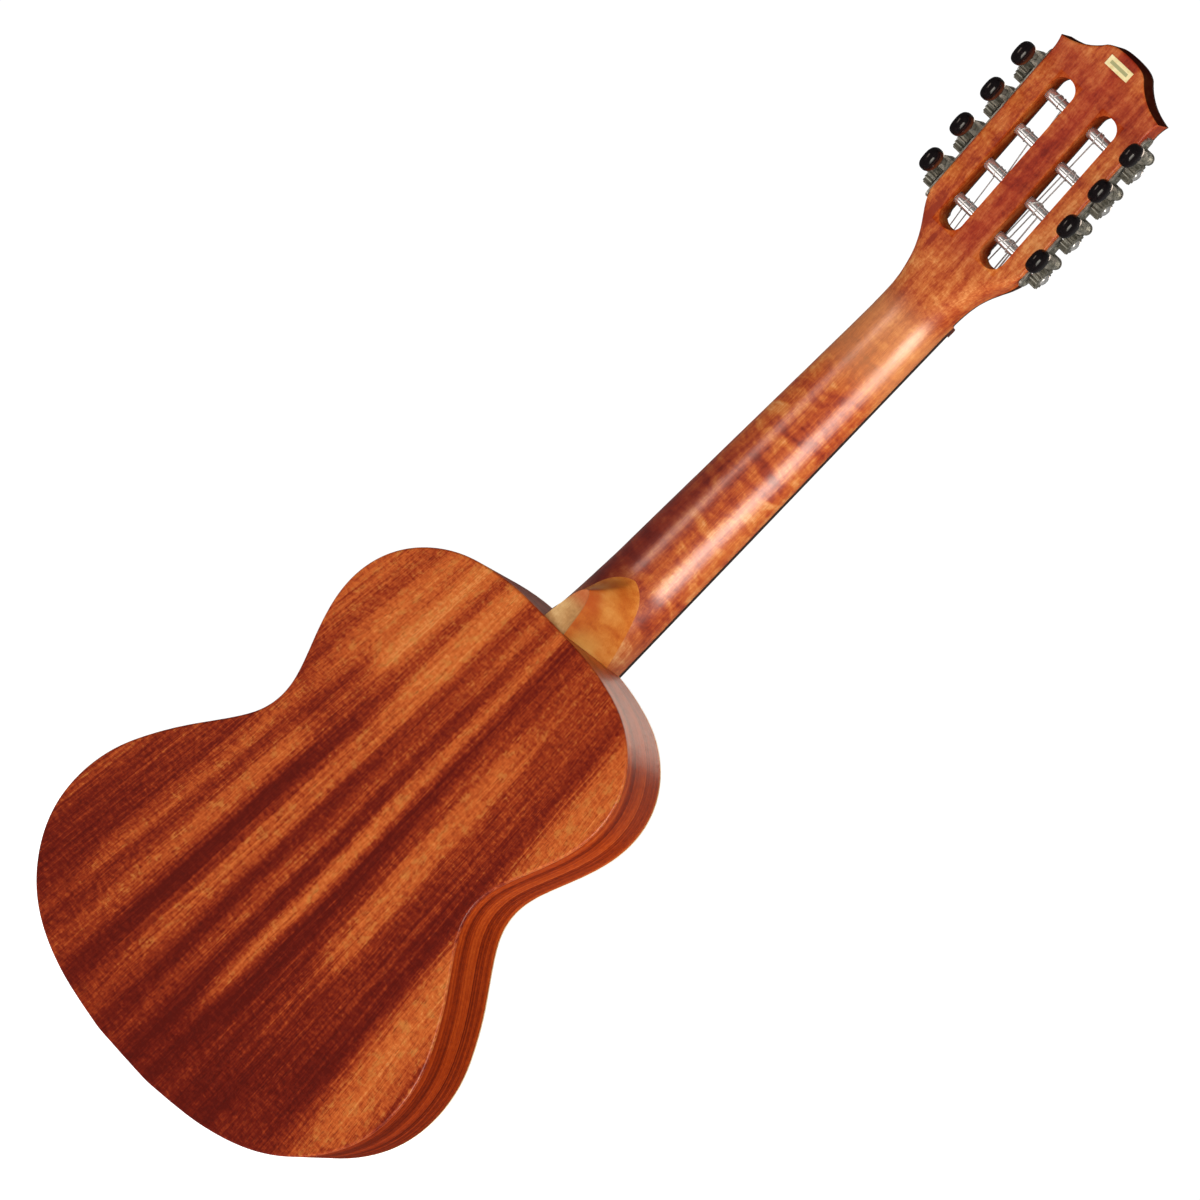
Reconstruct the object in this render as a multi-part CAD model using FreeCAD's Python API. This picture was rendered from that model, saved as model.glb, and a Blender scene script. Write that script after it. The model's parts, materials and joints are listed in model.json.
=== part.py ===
import FreeCAD, Part
import os, math
from FreeCAD import Vector as V

# Charango: a small double-strung lute with a guitar-shaped box, a slotted headstock that leans back,
# and eight worm-geared tuning machines on two side plates.
# Frame: +Z runs up the neck, the soundboard faces -Y, the back faces +Y, +X is the treble side.
# Origin: centre line of the neck, on the plane of the soundboard and neck top, at the nut's playing edge,
# which is where a wall hanger's yoke takes the instrument under the headstock. Millimetres.

# ---------------------------------------------------------------- driving dimensions
SCALE_LEN = 410.0            # nut to saddle
N_FRETS = 18
BODY_TOP_Z = -225.0          # body end at the neck (14th fret)
BODY_TAIL_Z = -510.3
# half outline of the body: (half width, z), from the neck joint to the tail
OUTLINE = [(0, -225.0), (14, -225.15), (27, -225.85), (40, -228.0), (54, -232.3), (67, -240.2), (77, -251.0),
           (83, -263.5), (85.1, -276), (84.4, -287), (81.6, -298.5), (77.2, -310.5), (72.8, -321.5), (69.7, -331.5),
           (68.9, -341), (71.0, -351), (76.3, -361), (84.6, -372.8), (93.4, -385.2), (101.3, -398.5), (107.6, -412),
           (111.2, -426), (112.0, -438.5), (110.4, -451.5), (105.8, -464.3), (98.0, -476.6), (87.3, -487.6),
           (74.0, -496.3), (58.5, -502.6), (41.5, -506.8), (22, -509.6), (0, -510.3)]
BACK_Y0 = 68.66              # outer face of the back: y = BACK_Y0 + BACK_SLOPE * z
BACK_SLOPE = -0.018057
TOP_T = 2.4                  # soundboard thickness
BACK_T = 2.4                 # back thickness
SIDE_T = 2.2                 # side (rib) thickness
EDGE_R = 1.1                 # rounding of the back's outer edge
LINING_W, LINING_H = 4.5, 7.0
HOLE_Z, HOLE_R = -306.0, 29.0
ROS_R0, ROS_R1, ROS_D = 31.5, 37.5, 0.8
# neck
NUT_HALF_W = 17.8
NECK_TAPER = 0.0190          # half width grows by this per mm down the neck
GLUE_Y = 20.0                # plane between the neck and the stacked heel
HEEL_END_Y = 70.0
FB_T = 4.5
FB_END_Z = -272.0
NUT_W, NUT_TOP = 5.0, 7.2
# headstock
HEAD_DEG = 13.73             # backward lean
HEAD_T = 17.0                # whole thickness, with the face veneer
VENEER_T = 2.0
HEAD_HW = 30.9               # half width
EAR_A, EAR_HW, CROWN_A = 143.6, 32.2, 157.4
SLOT_X, SLOT_HW, SLOT_A0, SLOT_A1 = 13.7, 6.6, 39.7, 131.0
ROLL_A0, ROLL_PITCH, ROLL_H, ROLL_R = 53.2, 21.8, 8.47, 2.9
FIT = 0.08                   # radial running clearance
# machines
PLATE_T, PLATE_H0, PLATE_H1, PLATE_A0, PLATE_A1 = 1.2, 2.7, 14.2, 43.6, 135.4
GEAR_X = 35.5                # middle plane of the gear and axis of the worm
CENTRE = 8.4                 # gear axis to worm axis
TEETH, MODULE = 14, 0.80
GEAR_T, GEAR_RO, GEAR_RI = 4.6, 6.20, 4.90
WORM_RO, WORM_RI, WORM_L = 3.20, 1.95, 7.6
SHAFT_R = 1.5
LUG_T = 1.2
BTN_C, BTN_L, BTN_W, BTN_D = 31.6, 12.0, 12.4, 7.4   # centre depth, length, width along the head, breadth
# strings, in four double courses
NUT_X = [-14.1, -4.7, 4.7, 14.1]
SAD_X = [-18.0, -6.0, 6.0, 18.0]
PAIR_NUT, PAIR_SAD = 1.1, 1.3
STR_R = [0.40, 0.36, 0.33, 0.30]
NUT_Y, SAD_Y = -6.0, -9.4
BR_Z0, BR_Z1 = -424.0, -401.0

PHI = math.radians(HEAD_DEG)
SN, CS = math.sin(PHI), math.cos(PHI)
os.makedirs("parts", exist_ok=True)
NODES = {}


def save(name, shape):
    sol = shape.Solids
    if len(sol) == 1:
        out = sol[0]
    else:
        out = Part.makeCompound(sol)
    if not out.isValid():
        print("NOT VALID", name)
    NODES[name] = out
    out.exportStep("parts/%s.step" % name)
    print("%-22s solids %2d  volume %9.1f  valid %s" % (name, len(sol), sum(s.Volume for s in sol), out.isValid()))


def box(x0, x1, y0, y1, z0, z1):
    return Part.makeBox(x1 - x0, y1 - y0, z1 - z0, V(x0, y0, z0))


def head(shape):
    # headstock frame (x, depth from the face, distance from the nut) to the row's frame
    s = shape.copy()
    s.rotate(V(0, 0, 0), V(1, 0, 0), -HEAD_DEG)
    return s


def hp(x, a, h):
    return V(x, a * SN + h * CS, a * CS - h * SN)


def interp(pts, x):
    # monotone cubic interpolation through (x, y) pairs sorted by x
    n = len(pts)
    if x <= pts[0][0]:
        return pts[0][1]
    if x >= pts[-1][0]:
        return pts[-1][1]
    d = [(pts[i + 1][1] - pts[i][1]) / (pts[i + 1][0] - pts[i][0]) for i in range(n - 1)]
    m = [d[0]] + [0 if d[i - 1] * d[i] <= 0 else 2 * d[i - 1] * d[i] / (d[i - 1] + d[i]) for i in range(1, n - 1)] + [d[-1]]
    for i in range(n - 1):
        if x <= pts[i + 1][0]:
            h = pts[i + 1][0] - pts[i][0]
            t = (x - pts[i][0]) / h
            return ((2 * t ** 3 - 3 * t ** 2 + 1) * pts[i][1] + (t ** 3 - 2 * t ** 2 + t) * h * m[i]
                    + (-2 * t ** 3 + 3 * t ** 2) * pts[i + 1][1] + (t ** 3 - t ** 2) * h * m[i + 1])


def spline(pts, t0=None, t1=None):
    c = Part.BSplineCurve()
    if t0 is None:
        c.interpolate([V(*p) for p in pts])
    else:
        c.interpolate(Points=[V(*p) for p in pts], InitialTangent=V(*t0), FinalTangent=V(*t1))
    return c


# ---------------------------------------------------------------- body outline
MASTER = spline([(w, 0, z) for w, z in OUTLINE], (1, 0, 0), (-1, 0, 0))


def half_curve(off):
    if off == 0:
        return MASTER
    n = 72
    u0, u1 = MASTER.FirstParameter, MASTER.LastParameter
    pts = []
    for i in range(n + 1):
        u = u0 + (u1 - u0) * i / n
        p = MASTER.value(u)
        t = MASTER.tangent(u)[0]
        nx, nz = t.z, -t.x            # inward normal
        pts.append((max(0.0, p.x + nx * off), 0, p.z + nz * off))
    pts[0] = (0, 0, pts[0][2])
    pts[-1] = (0, 0, pts[-1][2])
    return spline(pts, (1, 0, 0), (-1, 0, 0))


def outline_prism(off, y0, y1):
    c = half_curve(off)
    e1 = c.toShape()
    e2 = e1.mirror(V(0, 0, 0), V(1, 0, 0))
    w = Part.Wire(Part.__sortEdges__([e1, e2]))
    f = Part.Face(w)
    s = f.extrude(V(0, y1 - y0, 0))
    s.translate(V(0, y0, 0))
    return s


def below_back(depth):
    # everything in front of the plane that lies the given depth inside the back's outer face
    s = box(-200, 200, -400, 0, -700, 200)
    s.rotate(V(0, 0, 0), V(1, 0, 0), math.degrees(math.atan(-BACK_SLOPE)))
    s.translate(V(0, BACK_Y0 - depth, 0))
    return s


IN_BACK = below_back(BACK_T)
solid_out = outline_prism(0, 0, 90)
solid_in = outline_prism(SIDE_T, 0, 90)
solid_lin = outline_prism(SIDE_T + LINING_W, 0, 90)

# back and soundboard
back = solid_out.common(below_back(0)).cut(IN_BACK)
edges = [e for e in back.Edges if e.Length > 300 and all(abs(v.y - (BACK_Y0 + BACK_SLOPE * v.z)) < 0.05 for v in
         [e.valueAt(e.FirstParameter + (e.LastParameter - e.FirstParameter) * k / 7.0) for k in range(8)])]
try:
    b2 = back.makeFillet(EDGE_R, edges)
    if b2.isValid() and len(b2.Solids) == 1:
        back = b2
    else:
        print("back fillet not used")
except Exception as ex:
    print("back fillet failed", ex)
save("back_plate", back)

top = outline_prism(0, 0, TOP_T)
tedges = [e for e in top.Edges if e.Length > 300 and abs(e.valueAt((e.FirstParameter + e.LastParameter) / 2).y) < 0.01]
try:
    t2 = top.makeFillet(0.8, tedges)
    if t2.isValid() and len(t2.Solids) == 1:
        top = t2
    else:
        print("top fillet not used")
except Exception as ex:
    print("top fillet failed", ex)


def ycyl(x, z, r, y0, y1):
    return Part.makeCylinder(r, y1 - y0, V(x, y0, z), V(0, 1, 0))


ros = ycyl(0, HOLE_Z, ROS_R1, 0, ROS_D).cut(ycyl(0, HOLE_Z, ROS_R0, -1, ROS_D + 1))
# the fretboard's end laps over the upper edge of the ring, so the ring stays below it in the same plane
top = top.cut(ycyl(0, HOLE_Z, HOLE_R, -1, 5)).cut(ros)
save("soundboard", top)
save("rosette", ros)

# sides
ring = solid_out.cut(solid_in).common(IN_BACK).common(box(-150, 150, TOP_T, 90, -600, -200))
save("side_treble", ring.common(box(0, 150, -5, 95, -600, -200)))
save("side_bass", ring.common(box(-150, 0, -5, 95, -600, -200)))

# end blocks, inside the sides
hollow = solid_in.common(IN_BACK).common(box(-150, 150, TOP_T, 90, -600, -200))
neck_block = hollow.common(box(-29, 29, 0, 90, -259, -220))
tail_block = hollow.common(box(-24, 24, 0, 90, -512, -494))
save("neck_block", neck_block)
save("tail_block", tail_block)

# linings: a strip round the front edge and one round the back edge, in bass and treble halves
lin = solid_in.cut(solid_lin)
lf = lin.common(box(-150, 150, TOP_T, TOP_T + LINING_H, -600, -200))
lb = lin.common(IN_BACK).cut(below_back(BACK_T + LINING_H))
linings = []
for l in (lf, lb):
    l = l.cut(box(-29, 29, -5, 95, -259, -200)).cut(box(-24, 24, -5, 95, -520, -494))
    linings += l.Solids
save("linings", Part.makeCompound(linings))

# bars under the soundboard
inner = solid_lin.common(IN_BACK)
bridge_plate = box(-52, 52, TOP_T, TOP_T + 2.2, -432, -396)
save("bridge_plate", bridge_plate)


def bar(z, w, h, y0):
    b = box(-120, 120, y0, y0 + h, z - w / 2, z + w / 2)
    return b


tb = []
for z in (-268.5, -345.5):
    tb.append(inner.common(bar(z, 8, 12, TOP_T)).cut(neck_block))
for x, ang in ((-46, 9), (-23, 4.5), (0, 0), (23, -4.5), (46, -9)):
    f = box(-2.5, 2.5, TOP_T, TOP_T + 6.5, -488, -350)
    f.rotate(V(0, 0, -420), V(0, 1, 0), ang)
    f.translate(V(x, 0, 0))
    f = f.common(inner).cut(bridge_plate).cut(tail_block).cut(box(-200, 200, 0, 90, -350.2, -300))
    tb.append(f)
save("top_braces", Part.makeCompound(sum([t.Solids for t in tb], [])))
bb = []
for z in (-296, -372, -448):
    b = inner.common(bar(z, 8, 60, 40)).cut(below_back(BACK_T + 11))
    bb.append(b)
save("back_braces", Part.makeCompound(sum([t.Solids for t in bb], [])))

# ---------------------------------------------------------------- neck with headstock
T = math.tan(PHI)
FLARE = [(0, NUT_HALF_W), (7, 18.15), (14, 18.95), (20, 20.2), (26, 22.35), (32, 25.4), (38, 28.7), (43.5, 30.6), (49, HEAD_HW)]


def half_w(z):
    if z <= 0:
        return NUT_HALF_W - NECK_TAPER * z
    a = z / CS + 0.5
    return interp([(0, NUT_HALF_W)] + FLARE[1:], a)


HEEL_H = [(-226, 41.0), (-223.3, 38.0), (-216, 31.8), (-208, 27.4), (-202, 25.0), (-196, 23.0), (-191, 21.2), (-187, 20.0), (-180, 19.1),
          (-165, 18.5), (-120, 17.2), (-70, 15.7), (-20, 14.2), (0, 13.6)]


def rear_y(z):
    neck = interp(HEEL_H, z)
    line = z * T + HEAD_T / CS
    k = 1.6
    return k * math.log(math.exp(neck / k) + math.exp(line / k)) if z < 40 else line


def expo(z):
    return interp([(-226, 2.05), (-187, 2.1), (-25, 2.15), (-8, 2.3), (6, 2.8), (16, 3.8), (26, 6), (34, 10), (40, 18), (50, 30)], z)


def section(z):
    w, d, n = half_w(z), rear_y(z), expo(z)
    y0 = 0.0 if z < -6 else max(0.0, z * T) * 0.5 + 0.5 * (math.log(1 + math.exp(z * T / 0.8)) * 0.8)
    if z < -6:
        y0 = 0.5 * (math.log(1 + math.exp(z * T / 0.8)) * 0.8)
    pts = []
    N = 28
    for i in range(N + 1):
        th = math.pi * i / N
        c, s = math.cos(th), math.sin(th)
        x = w * math.copysign(abs(c) ** (2.0 / n), c)
        y = y0 + (d - y0) * (abs(s) ** (2.0 / n))
        pts.append((x, y, z))
    pts[0] = (w, y0, z)
    pts[-1] = (-w, y0, z)
    return pts, w


def sect_wire(z):
    pts, w = section(z)
    c = spline(pts)
    a, b = V(*pts[0]), V(*pts[-1])
    f0, f1 = V(w, -9, z), V(-w, -9, z)
    return Part.Wire([c.toShape(), Part.LineSegment(b, f1).toShape(), Part.LineSegment(f1, f0).toShape(), Part.LineSegment(f0, a).toShape()])


zs = [-230, -226, -221, -216, -211, -206, -201, -196, -191.5, -187, -182, -175, -165, -150, -130, -105, -80, -55, -38, -28, -20, -13, -7, -2]
shaft = Part.makeLoft([sect_wire(z) for z in zs + [3]], True, False)
flare = Part.makeLoft([sect_wire(z) for z in [3, 8, 13, 18, 23, 28, 33, 38, 43, 48.5]], True, False)


def head_outline(h0, h1, a_low):
    # plan of the headstock from a_low to the crown, as a prism between two depths
    def P(x, a):
        return V(x, 0, a)
    e = []
    ear, cr = (EAR_HW, EAR_A), (12.2, 154.5)
    right = [Part.LineSegment(P(HEAD_HW, a_low), P(HEAD_HW, 136.0)).toShape()]
    right.append(spline([(HEAD_HW, 0, 136.0), (HEAD_HW + 0.35, 0, 140.0), (ear[0], 0, ear[1])]).toShape())
    right.append(spline([(ear[0], 0, ear[1]), (28.0, 0, 144.5), (23.6, 0, 146.0), (19.4, 0, 148.2), (15.6, 0, 151.0), (cr[0], 0, cr[1])]).toShape())
    right.append(spline([(cr[0], 0, cr[1]), (9.0, 0, 156.3), (4.6, 0, 157.2), (0, 0, CROWN_A)]).toShape())
    left = [r.mirror(V(0, 0, 0), V(1, 0, 0)) for r in right]
    base = Part.LineSegment(P(-HEAD_HW, a_low), P(HEAD_HW, a_low)).toShape()
    w = Part.Wire(Part.__sortEdges__(right + left + [base]))
    s = Part.Face(w).extrude(V(0, h1 - h0, 0))
    s.translate(V(0, h0, 0))
    return s


def slot_prism(sx, h0, h1, grow=0.0):
    r = SLOT_HW + grow
    a0, a1 = SLOT_A0 + SLOT_HW, SLOT_A1 - SLOT_HW
    s = box(sx - r, sx + r, h0, h1, a0, a1)
    for a in (a0, a1):
        s = s.fuse(Part.makeCylinder(r, h1 - h0, V(sx, h0, a), V(0, 1, 0)))
    return s.removeSplitter()


head_low = 47.5
block = head_outline(VENEER_T, HEAD_T, head_low)
rim = [e for e in block.Edges if e.Length > 1 and all(abs(v.Point.y - HEAD_T) < 0.01 for v in e.Vertexes)
       and abs(e.valueAt((e.FirstParameter + e.LastParameter) / 2).z - head_low) > 0.5]
try:
    b2 = block.makeFillet(1.3, rim)
    if b2.isValid() and len(b2.Solids) == 1:
        block = b2
    else:
        print("headstock rim left sharp")
except Exception as ex:
    print("headstock fillet failed", ex)
block = head(block)
# the loft's upper end is trimmed square to the headstock so that it meets the block face to face
trim = head(box(-60, 60, -40, 60, -100, head_low))
flare = flare.common(trim)
neck = shaft.fuse(flare).fuse(block)
# planes: neck top, and the face under the veneer
neck = neck.cut(box(-60, 60, -30, 0, -240, 9))
neck = neck.cut(head(box(-60, 60, -60, VENEER_T, 5.4, 200)))
neck = neck.cut(box(-60, 60, GLUE_Y, 90, -240, -150)).cut(solid_out)
# straight rear face of the headstock
cuts = []
for sx in (-SLOT_X, SLOT_X):
    cuts.append(head(slot_prism(sx, -5, HEAD_T + 5)))
    ramp = box(sx - 5.6, sx + 5.6, -9, 0, -20, 21)
    ramp.rotate(V(sx, 0, 0), V(1, 0, 0), -14.5)
    ramp.translate(V(0, 0.0, 26.0))
    cuts.append(head(ramp))
a_roll = [ROLL_A0 + ROLL_PITCH * i for i in range(4)]


def xcyl(x0, x1, a, h, r):
    # cylinder along X in the headstock frame
    return Part.makeCylinder(r, x1 - x0, V(x0, h, a), V(1, 0, 0))


for a in a_roll:
    for s in (-1, 1):
        x0, x1 = (2.9, 40) if s > 0 else (-40, -2.9)
        cuts.append(head(xcyl(x0, x1, a, ROLL_H, ROLL_R + FIT)))
screw_a = [a_roll[0] - 7.2, a_roll[0] + 14.6, a_roll[1] + 14.6, a_roll[2] + 14.6, 132.4]
screws = []
for a in screw_a:
    for s in (-1, 1):
        xa, xb = HEAD_HW + PLATE_T, HEAD_HW - 7.0
        hd = Part.makeCylinder(1.9, 0.40, V(s * xa, ROLL_H, a), V(s, 0, 0))
        dome = Part.makeSphere(2.75, V(s * (xa + 0.40 - 1.985), ROLL_H, a)).common(
            Part.makeCylinder(1.9, 3, V(s * (xa + 0.40), ROLL_H, a), V(s, 0, 0)))
        sh = Part.makeCylinder(1.0, xa - xb, V(s * xb, ROLL_H, a), V(s, 0, 0))
        sc = sh.fuse(hd).fuse(dome)
        slot = box(min(s * (xa + 0.60), s * (xa + 3)), max(s * (xa + 0.60), s * (xa + 3)), ROLL_H - 0.3, ROLL_H + 0.3, a - 3, a + 3)
        sc = sc.cut(slot).removeSplitter()
        screws.append(head(sc))
        cuts.append(head(Part.makeCylinder(1.0, xa - xb, V(s * xb, ROLL_H, a), V(s, 0, 0))))
for c in cuts:
    neck = neck.cut(c)
neck = neck.removeSplitter()
save("neck", neck)

# stacked heel: sections parallel to the glue plane, each a tongue from the body towards the nut
def tongue(y):
    # half width against z on the glue plane, from the same section law as the neck
    k = (y - GLUE_Y) / (HEEL_END_Y - GLUE_Y)
    ztip = -186.9 - 15.4 * (k ** 0.55)
    wb = interp([(20, 19.6), (30, 16.2), (40, 13.4), (52, 10.3), (62, 8.0), (70, 6.4)], y)
    zb = -228.4
    pts = []
    ts = [0, 0.1, 0.22, 0.34, 0.46, 0.57, 0.67, 0.76, 0.84, 0.90, 0.95, 0.985, 1.0]
    z20 = -186.9
    for t in ts:
        z = zb + (z20 - zb) * t
        h = interp(HEEL_H, z)
        f = math.sqrt(max(0.0, 1 - (GLUE_Y / h) ** 2)) if h > GLUE_Y else 0.0
        x20 = (NUT_HALF_W - NECK_TAPER * z) * f
        pts.append((t, x20))
    w0 = pts[0][1]
    out = []
    for t, x in pts:
        out.append((x / w0 * wb * 1.03, y, zb + (ztip - zb) * t))
    out[-1] = (0, y, ztip)
    full = out + [(-x, yy, zz) for x, yy, zz in out[-2::-1]]
    return full


def tongue_wire(y):
    p = tongue(y)
    c = spline(p)
    return Part.Wire([c.toShape(), Part.LineSegment(V(*p[-1]), V(*p[0])).toShape()])


heel = Part.makeLoft([tongue_wire(y) for y in (20, 23, 27, 32, 38, 45, 53, 62, 70)], True, False)
heel = heel.cut(solid_out)
save("heel", heel)

# dark face veneer
fl = []
na = 26
for i in range(na + 1):
    a = 5.6 + (49.0 - 5.6) * i / na
    fl.append((interp(FLARE, a), a))
e1 = spline([(x, 0, a) for x, a in fl]).toShape()
e2 = e1.mirror(V(0, 0, 0), V(1, 0, 0))
lo = Part.LineSegment(V(-fl[0][0], 0, fl[0][1]), V(fl[0][0], 0, fl[0][1])).toShape()
hi = Part.LineSegment(V(-HEAD_HW, 0, 49.0), V(HEAD_HW, 0, 49.0)).toShape()
vf = Part.Face(Part.Wire(Part.__sortEdges__([e1, e2, lo, hi]))).extrude(V(0, VENEER_T, 0))
ven = head(vf.fuse(head_outline(0, VENEER_T, 49.0)).removeSplitter())
for c in cuts:
    ven = ven.cut(c)
save("headstock_veneer", ven)

label = box(-7.0, 7.0, HEAD_T, HEAD_T + 0.3, 147.5, 152.9)
save("headstock_label", head(label))
save("plate_screws", Part.makeCompound(screws))

# ---------------------------------------------------------------- fretboard, frets, dots, nut
def fw(z):
    return NUT_HALF_W - NECK_TAPER * z


w0, w1 = fw(0), fw(FB_END_Z)
fbf = Part.Face(Part.makePolygon([V(-w0, -FB_T, 0), V(w0, -FB_T, 0), V(w1, -FB_T, FB_END_Z), V(-w1, -FB_T, FB_END_Z), V(-w0, -FB_T, 0)]))
fb = fbf.extrude(V(0, FB_T, 0))
frets, fz = [], []
for i in range(1, N_FRETS + 1):
    z = -SCALE_LEN * (1 - 2 ** (-i / 12.0))
    fz.append(z)
    w = fw(z) - 0.25
    crown = Part.makeCylinder(1.1, 2 * w, V(-w, -FB_T + 0.1, z), V(1, 0, 0)).common(box(-w, w, -FB_T - 3, -FB_T, z - 2, z + 2))
    tang = box(-w, w, -FB_T, -FB_T + 1.8, z - 0.27, z + 0.27)
    frets.append(crown.fuse(tang))
    fb = fb.cut(tang)
dots = []
for i, xs in ((5, [0]), (7, [0]), (10, [0]), (12, [-9, 9]), (15, [0])):
    zc = (fz[i - 1] + fz[i - 2]) / 2
    for x in xs:
        d = ycyl(x, zc, 2.4, -FB_T, -FB_T + 1.2)
        dots.append(d)
        fb = fb.cut(d)
save("fretboard", fb)
save("frets", Part.makeCompound(frets))
save("fret_dots", Part.makeCompound(dots))

# ---------------------------------------------------------------- bridge and saddle
br = box(-47, 47, -3.2, 0, BR_Z0 - 0.0, BR_Z1)
centre = box(-31, 31, -6.6, 0, BR_Z0, BR_Z1)
br = br.fuse(centre).removeSplitter()
vert = [e for e in br.Edges if abs(e.Length - 3.2) < 0.01 and abs(abs(e.valueAt(e.FirstParameter).x) - 47) < 0.01]
try:
    br = br.makeFillet(6.0, vert)
except Exception as ex:
    print("bridge fillet failed", ex)
br = br.cut(box(-60, 60, -10, -3.6, -416.2, -412.8))
br = br.cut(box(-26.1, 26.1, -10, -2.2, -411.5, -408.5))
sad = box(-26, 26, -7.9, -2.2, -411.5, -408.5).fuse(
    Part.makeCylinder(1.5, 52, V(-26, -7.9, -410), V(1, 0, 0))).removeSplitter()

# ---------------------------------------------------------------- nut
nw = fw(0)
nut = box(-nw, nw, -NUT_TOP, 0, 0, NUT_W)
nedge = [e for e in nut.Edges if e.Length > 30 and abs(e.valueAt(e.FirstParameter).y + NUT_TOP) < 0.01 and abs(e.valueAt(e.FirstParameter).z - NUT_W) < 0.01]
nut = nut.makeFillet(1.6, nedge)

def corner(pt, pn, yc, zc, rr):
    # corner point, in the (y, z) plane, of a taut line from pt over a round of radius rr at (yc, zc) to pn
    def tang(p, sgn):
        dy, dz = yc - p.y, zc - p.z
        d = math.hypot(dy, dz)
        base = math.atan2(dy, dz)
        al = math.asin(rr / d)
        return base + sgn * al          # direction angle of the tangent from p, in (z, y)
    a1, a2 = tang(pt, -1), tang(pn, 1)
    # pt + s(cos a1, sin a1) meets pn + t(cos a2, sin a2)
    c1, s1, c2, s2 = math.cos(a1), math.sin(a1), math.cos(a2), math.sin(a2)
    det = c1 * (-s2) + c2 * s1
    ez, ey = pn.z - pt.z, pn.y - pt.y
    s_ = (ez * (-s2) + c2 * ey) / det
    return V(0, pt.y + s_ * s1, pt.z + s_ * c1)


def rod(P, R, r):
    # straight runs joined by tangent arcs, swept by a circle
    edges, start = [], P[0]
    for i in range(1, len(P) - 1):
        a = (P[i - 1] - P[i]).normalize()
        b = (P[i + 1] - P[i]).normalize()
        half = (math.pi - a.getAngle(b)) / 2
        t = R[i - 1] * math.tan(half)
        q0, q1 = P[i] + a * t, P[i] + b * t
        m = (a + b).normalize()
        mid = P[i] + m * (R[i - 1] / math.cos(half) - R[i - 1])
        edges.append(Part.LineSegment(start, q0).toShape())
        edges.append(Part.Arc(q0, mid, q1).toShape())
        start = q1
    edges.append(Part.LineSegment(start, P[-1]).toShape())
    path = Part.Wire(edges)
    prof = Part.Wire([Part.Circle(P[0], P[1] - P[0], r).toShape()])
    return path.makePipeShell([prof], True, True)


# ---------------------------------------------------------------- strings
# string s (0 = lowest) runs from a bead behind the tie block, over the saddle and the nut, to its roller
lane = [16.2, 14.5, 12.8, 11.2]        # where each roller's winding sits, nearest roller first
strings = []
wind = {}
for s in range(8):
    c, k = divmod(s, 2)
    xn = NUT_X[c] + (PAIR_NUT if k else -PAIR_NUT)
    xs = SAD_X[c] + (PAIR_SAD if k else -PAIR_SAD)
    r = STR_R[c]
    side = -1 if s < 4 else 1
    order = s if s < 4 else 7 - s     # outermost string to the nearest roller
    xr = side * lane[order]
    a = a_roll[order]
    wind[(side, order)] = (xr, r)
    pn = V(xn, NUT_Y - r - 0.08, NUT_W)
    # tangent to the roller on the face side, just beside its winding and clear of both
    an, hn = (pn.y * SN + pn.z * CS), (pn.y * CS - pn.z * SN)
    rt = ROLL_R + r + 0.12
    da, dh = a - an, ROLL_H - hn
    dist = math.hypot(da, dh)
    ang = math.atan2(dh, da) - math.asin(rt / dist)
    lt = math.sqrt(dist ** 2 - rt ** 2)
    pe = hp(xr, an + lt * math.cos(ang), hn + lt * math.sin(ang))
    pt = V(xs, -4.9, -415.6)
    pb = V(xs, -4.9, BR_Z0 - 1.12)
    # the corner over the saddle is where the two tangents to its rounded top meet
    rs = 1.5 + r + 0.06
    ps = corner(pt, pn, -7.9, -410.0, rs)
    ps = V(xs + (xn - xs) * (ps.z - pt.z) / (pn.z - pt.z), ps.y, ps.z)
    body = rod([pb, pt, ps, pn, pe], [1.6, rs, 8.0], r)
    ball = Part.makeSphere(1.1, pb)
    body = body.fuse(ball)
    want = sum(math.pi * r * r * (q - p).Length for p, q in zip([pb, pt, ps, pn], [pt, ps, pn, pe]))
    if len(body.Solids) != 1 or abs(body.Volume / want - 1) > 0.05:
        print("STRING", s, len(body.Solids), body.Volume, want)
    strings.append(body)
    br = br.cut(Part.makeCylinder(r + 0.1, 14, V(xs, -4.9, BR_Z0 - 2), V(0, 0, 1)))
    nut = nut.cut(box(xn - r - 0.08, xn + r + 0.08, -12, NUT_Y, -1, NUT_W + 1))
# string ramps cut the saddle side of the tie block, and the beads rest in it
save("bridge", br)
save("saddle", sad)
save("nut", nut)
for c in range(4):
    save("strings_course_%d" % (4 - c), Part.makeCompound([strings[2 * c], strings[2 * c + 1]]))

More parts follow.
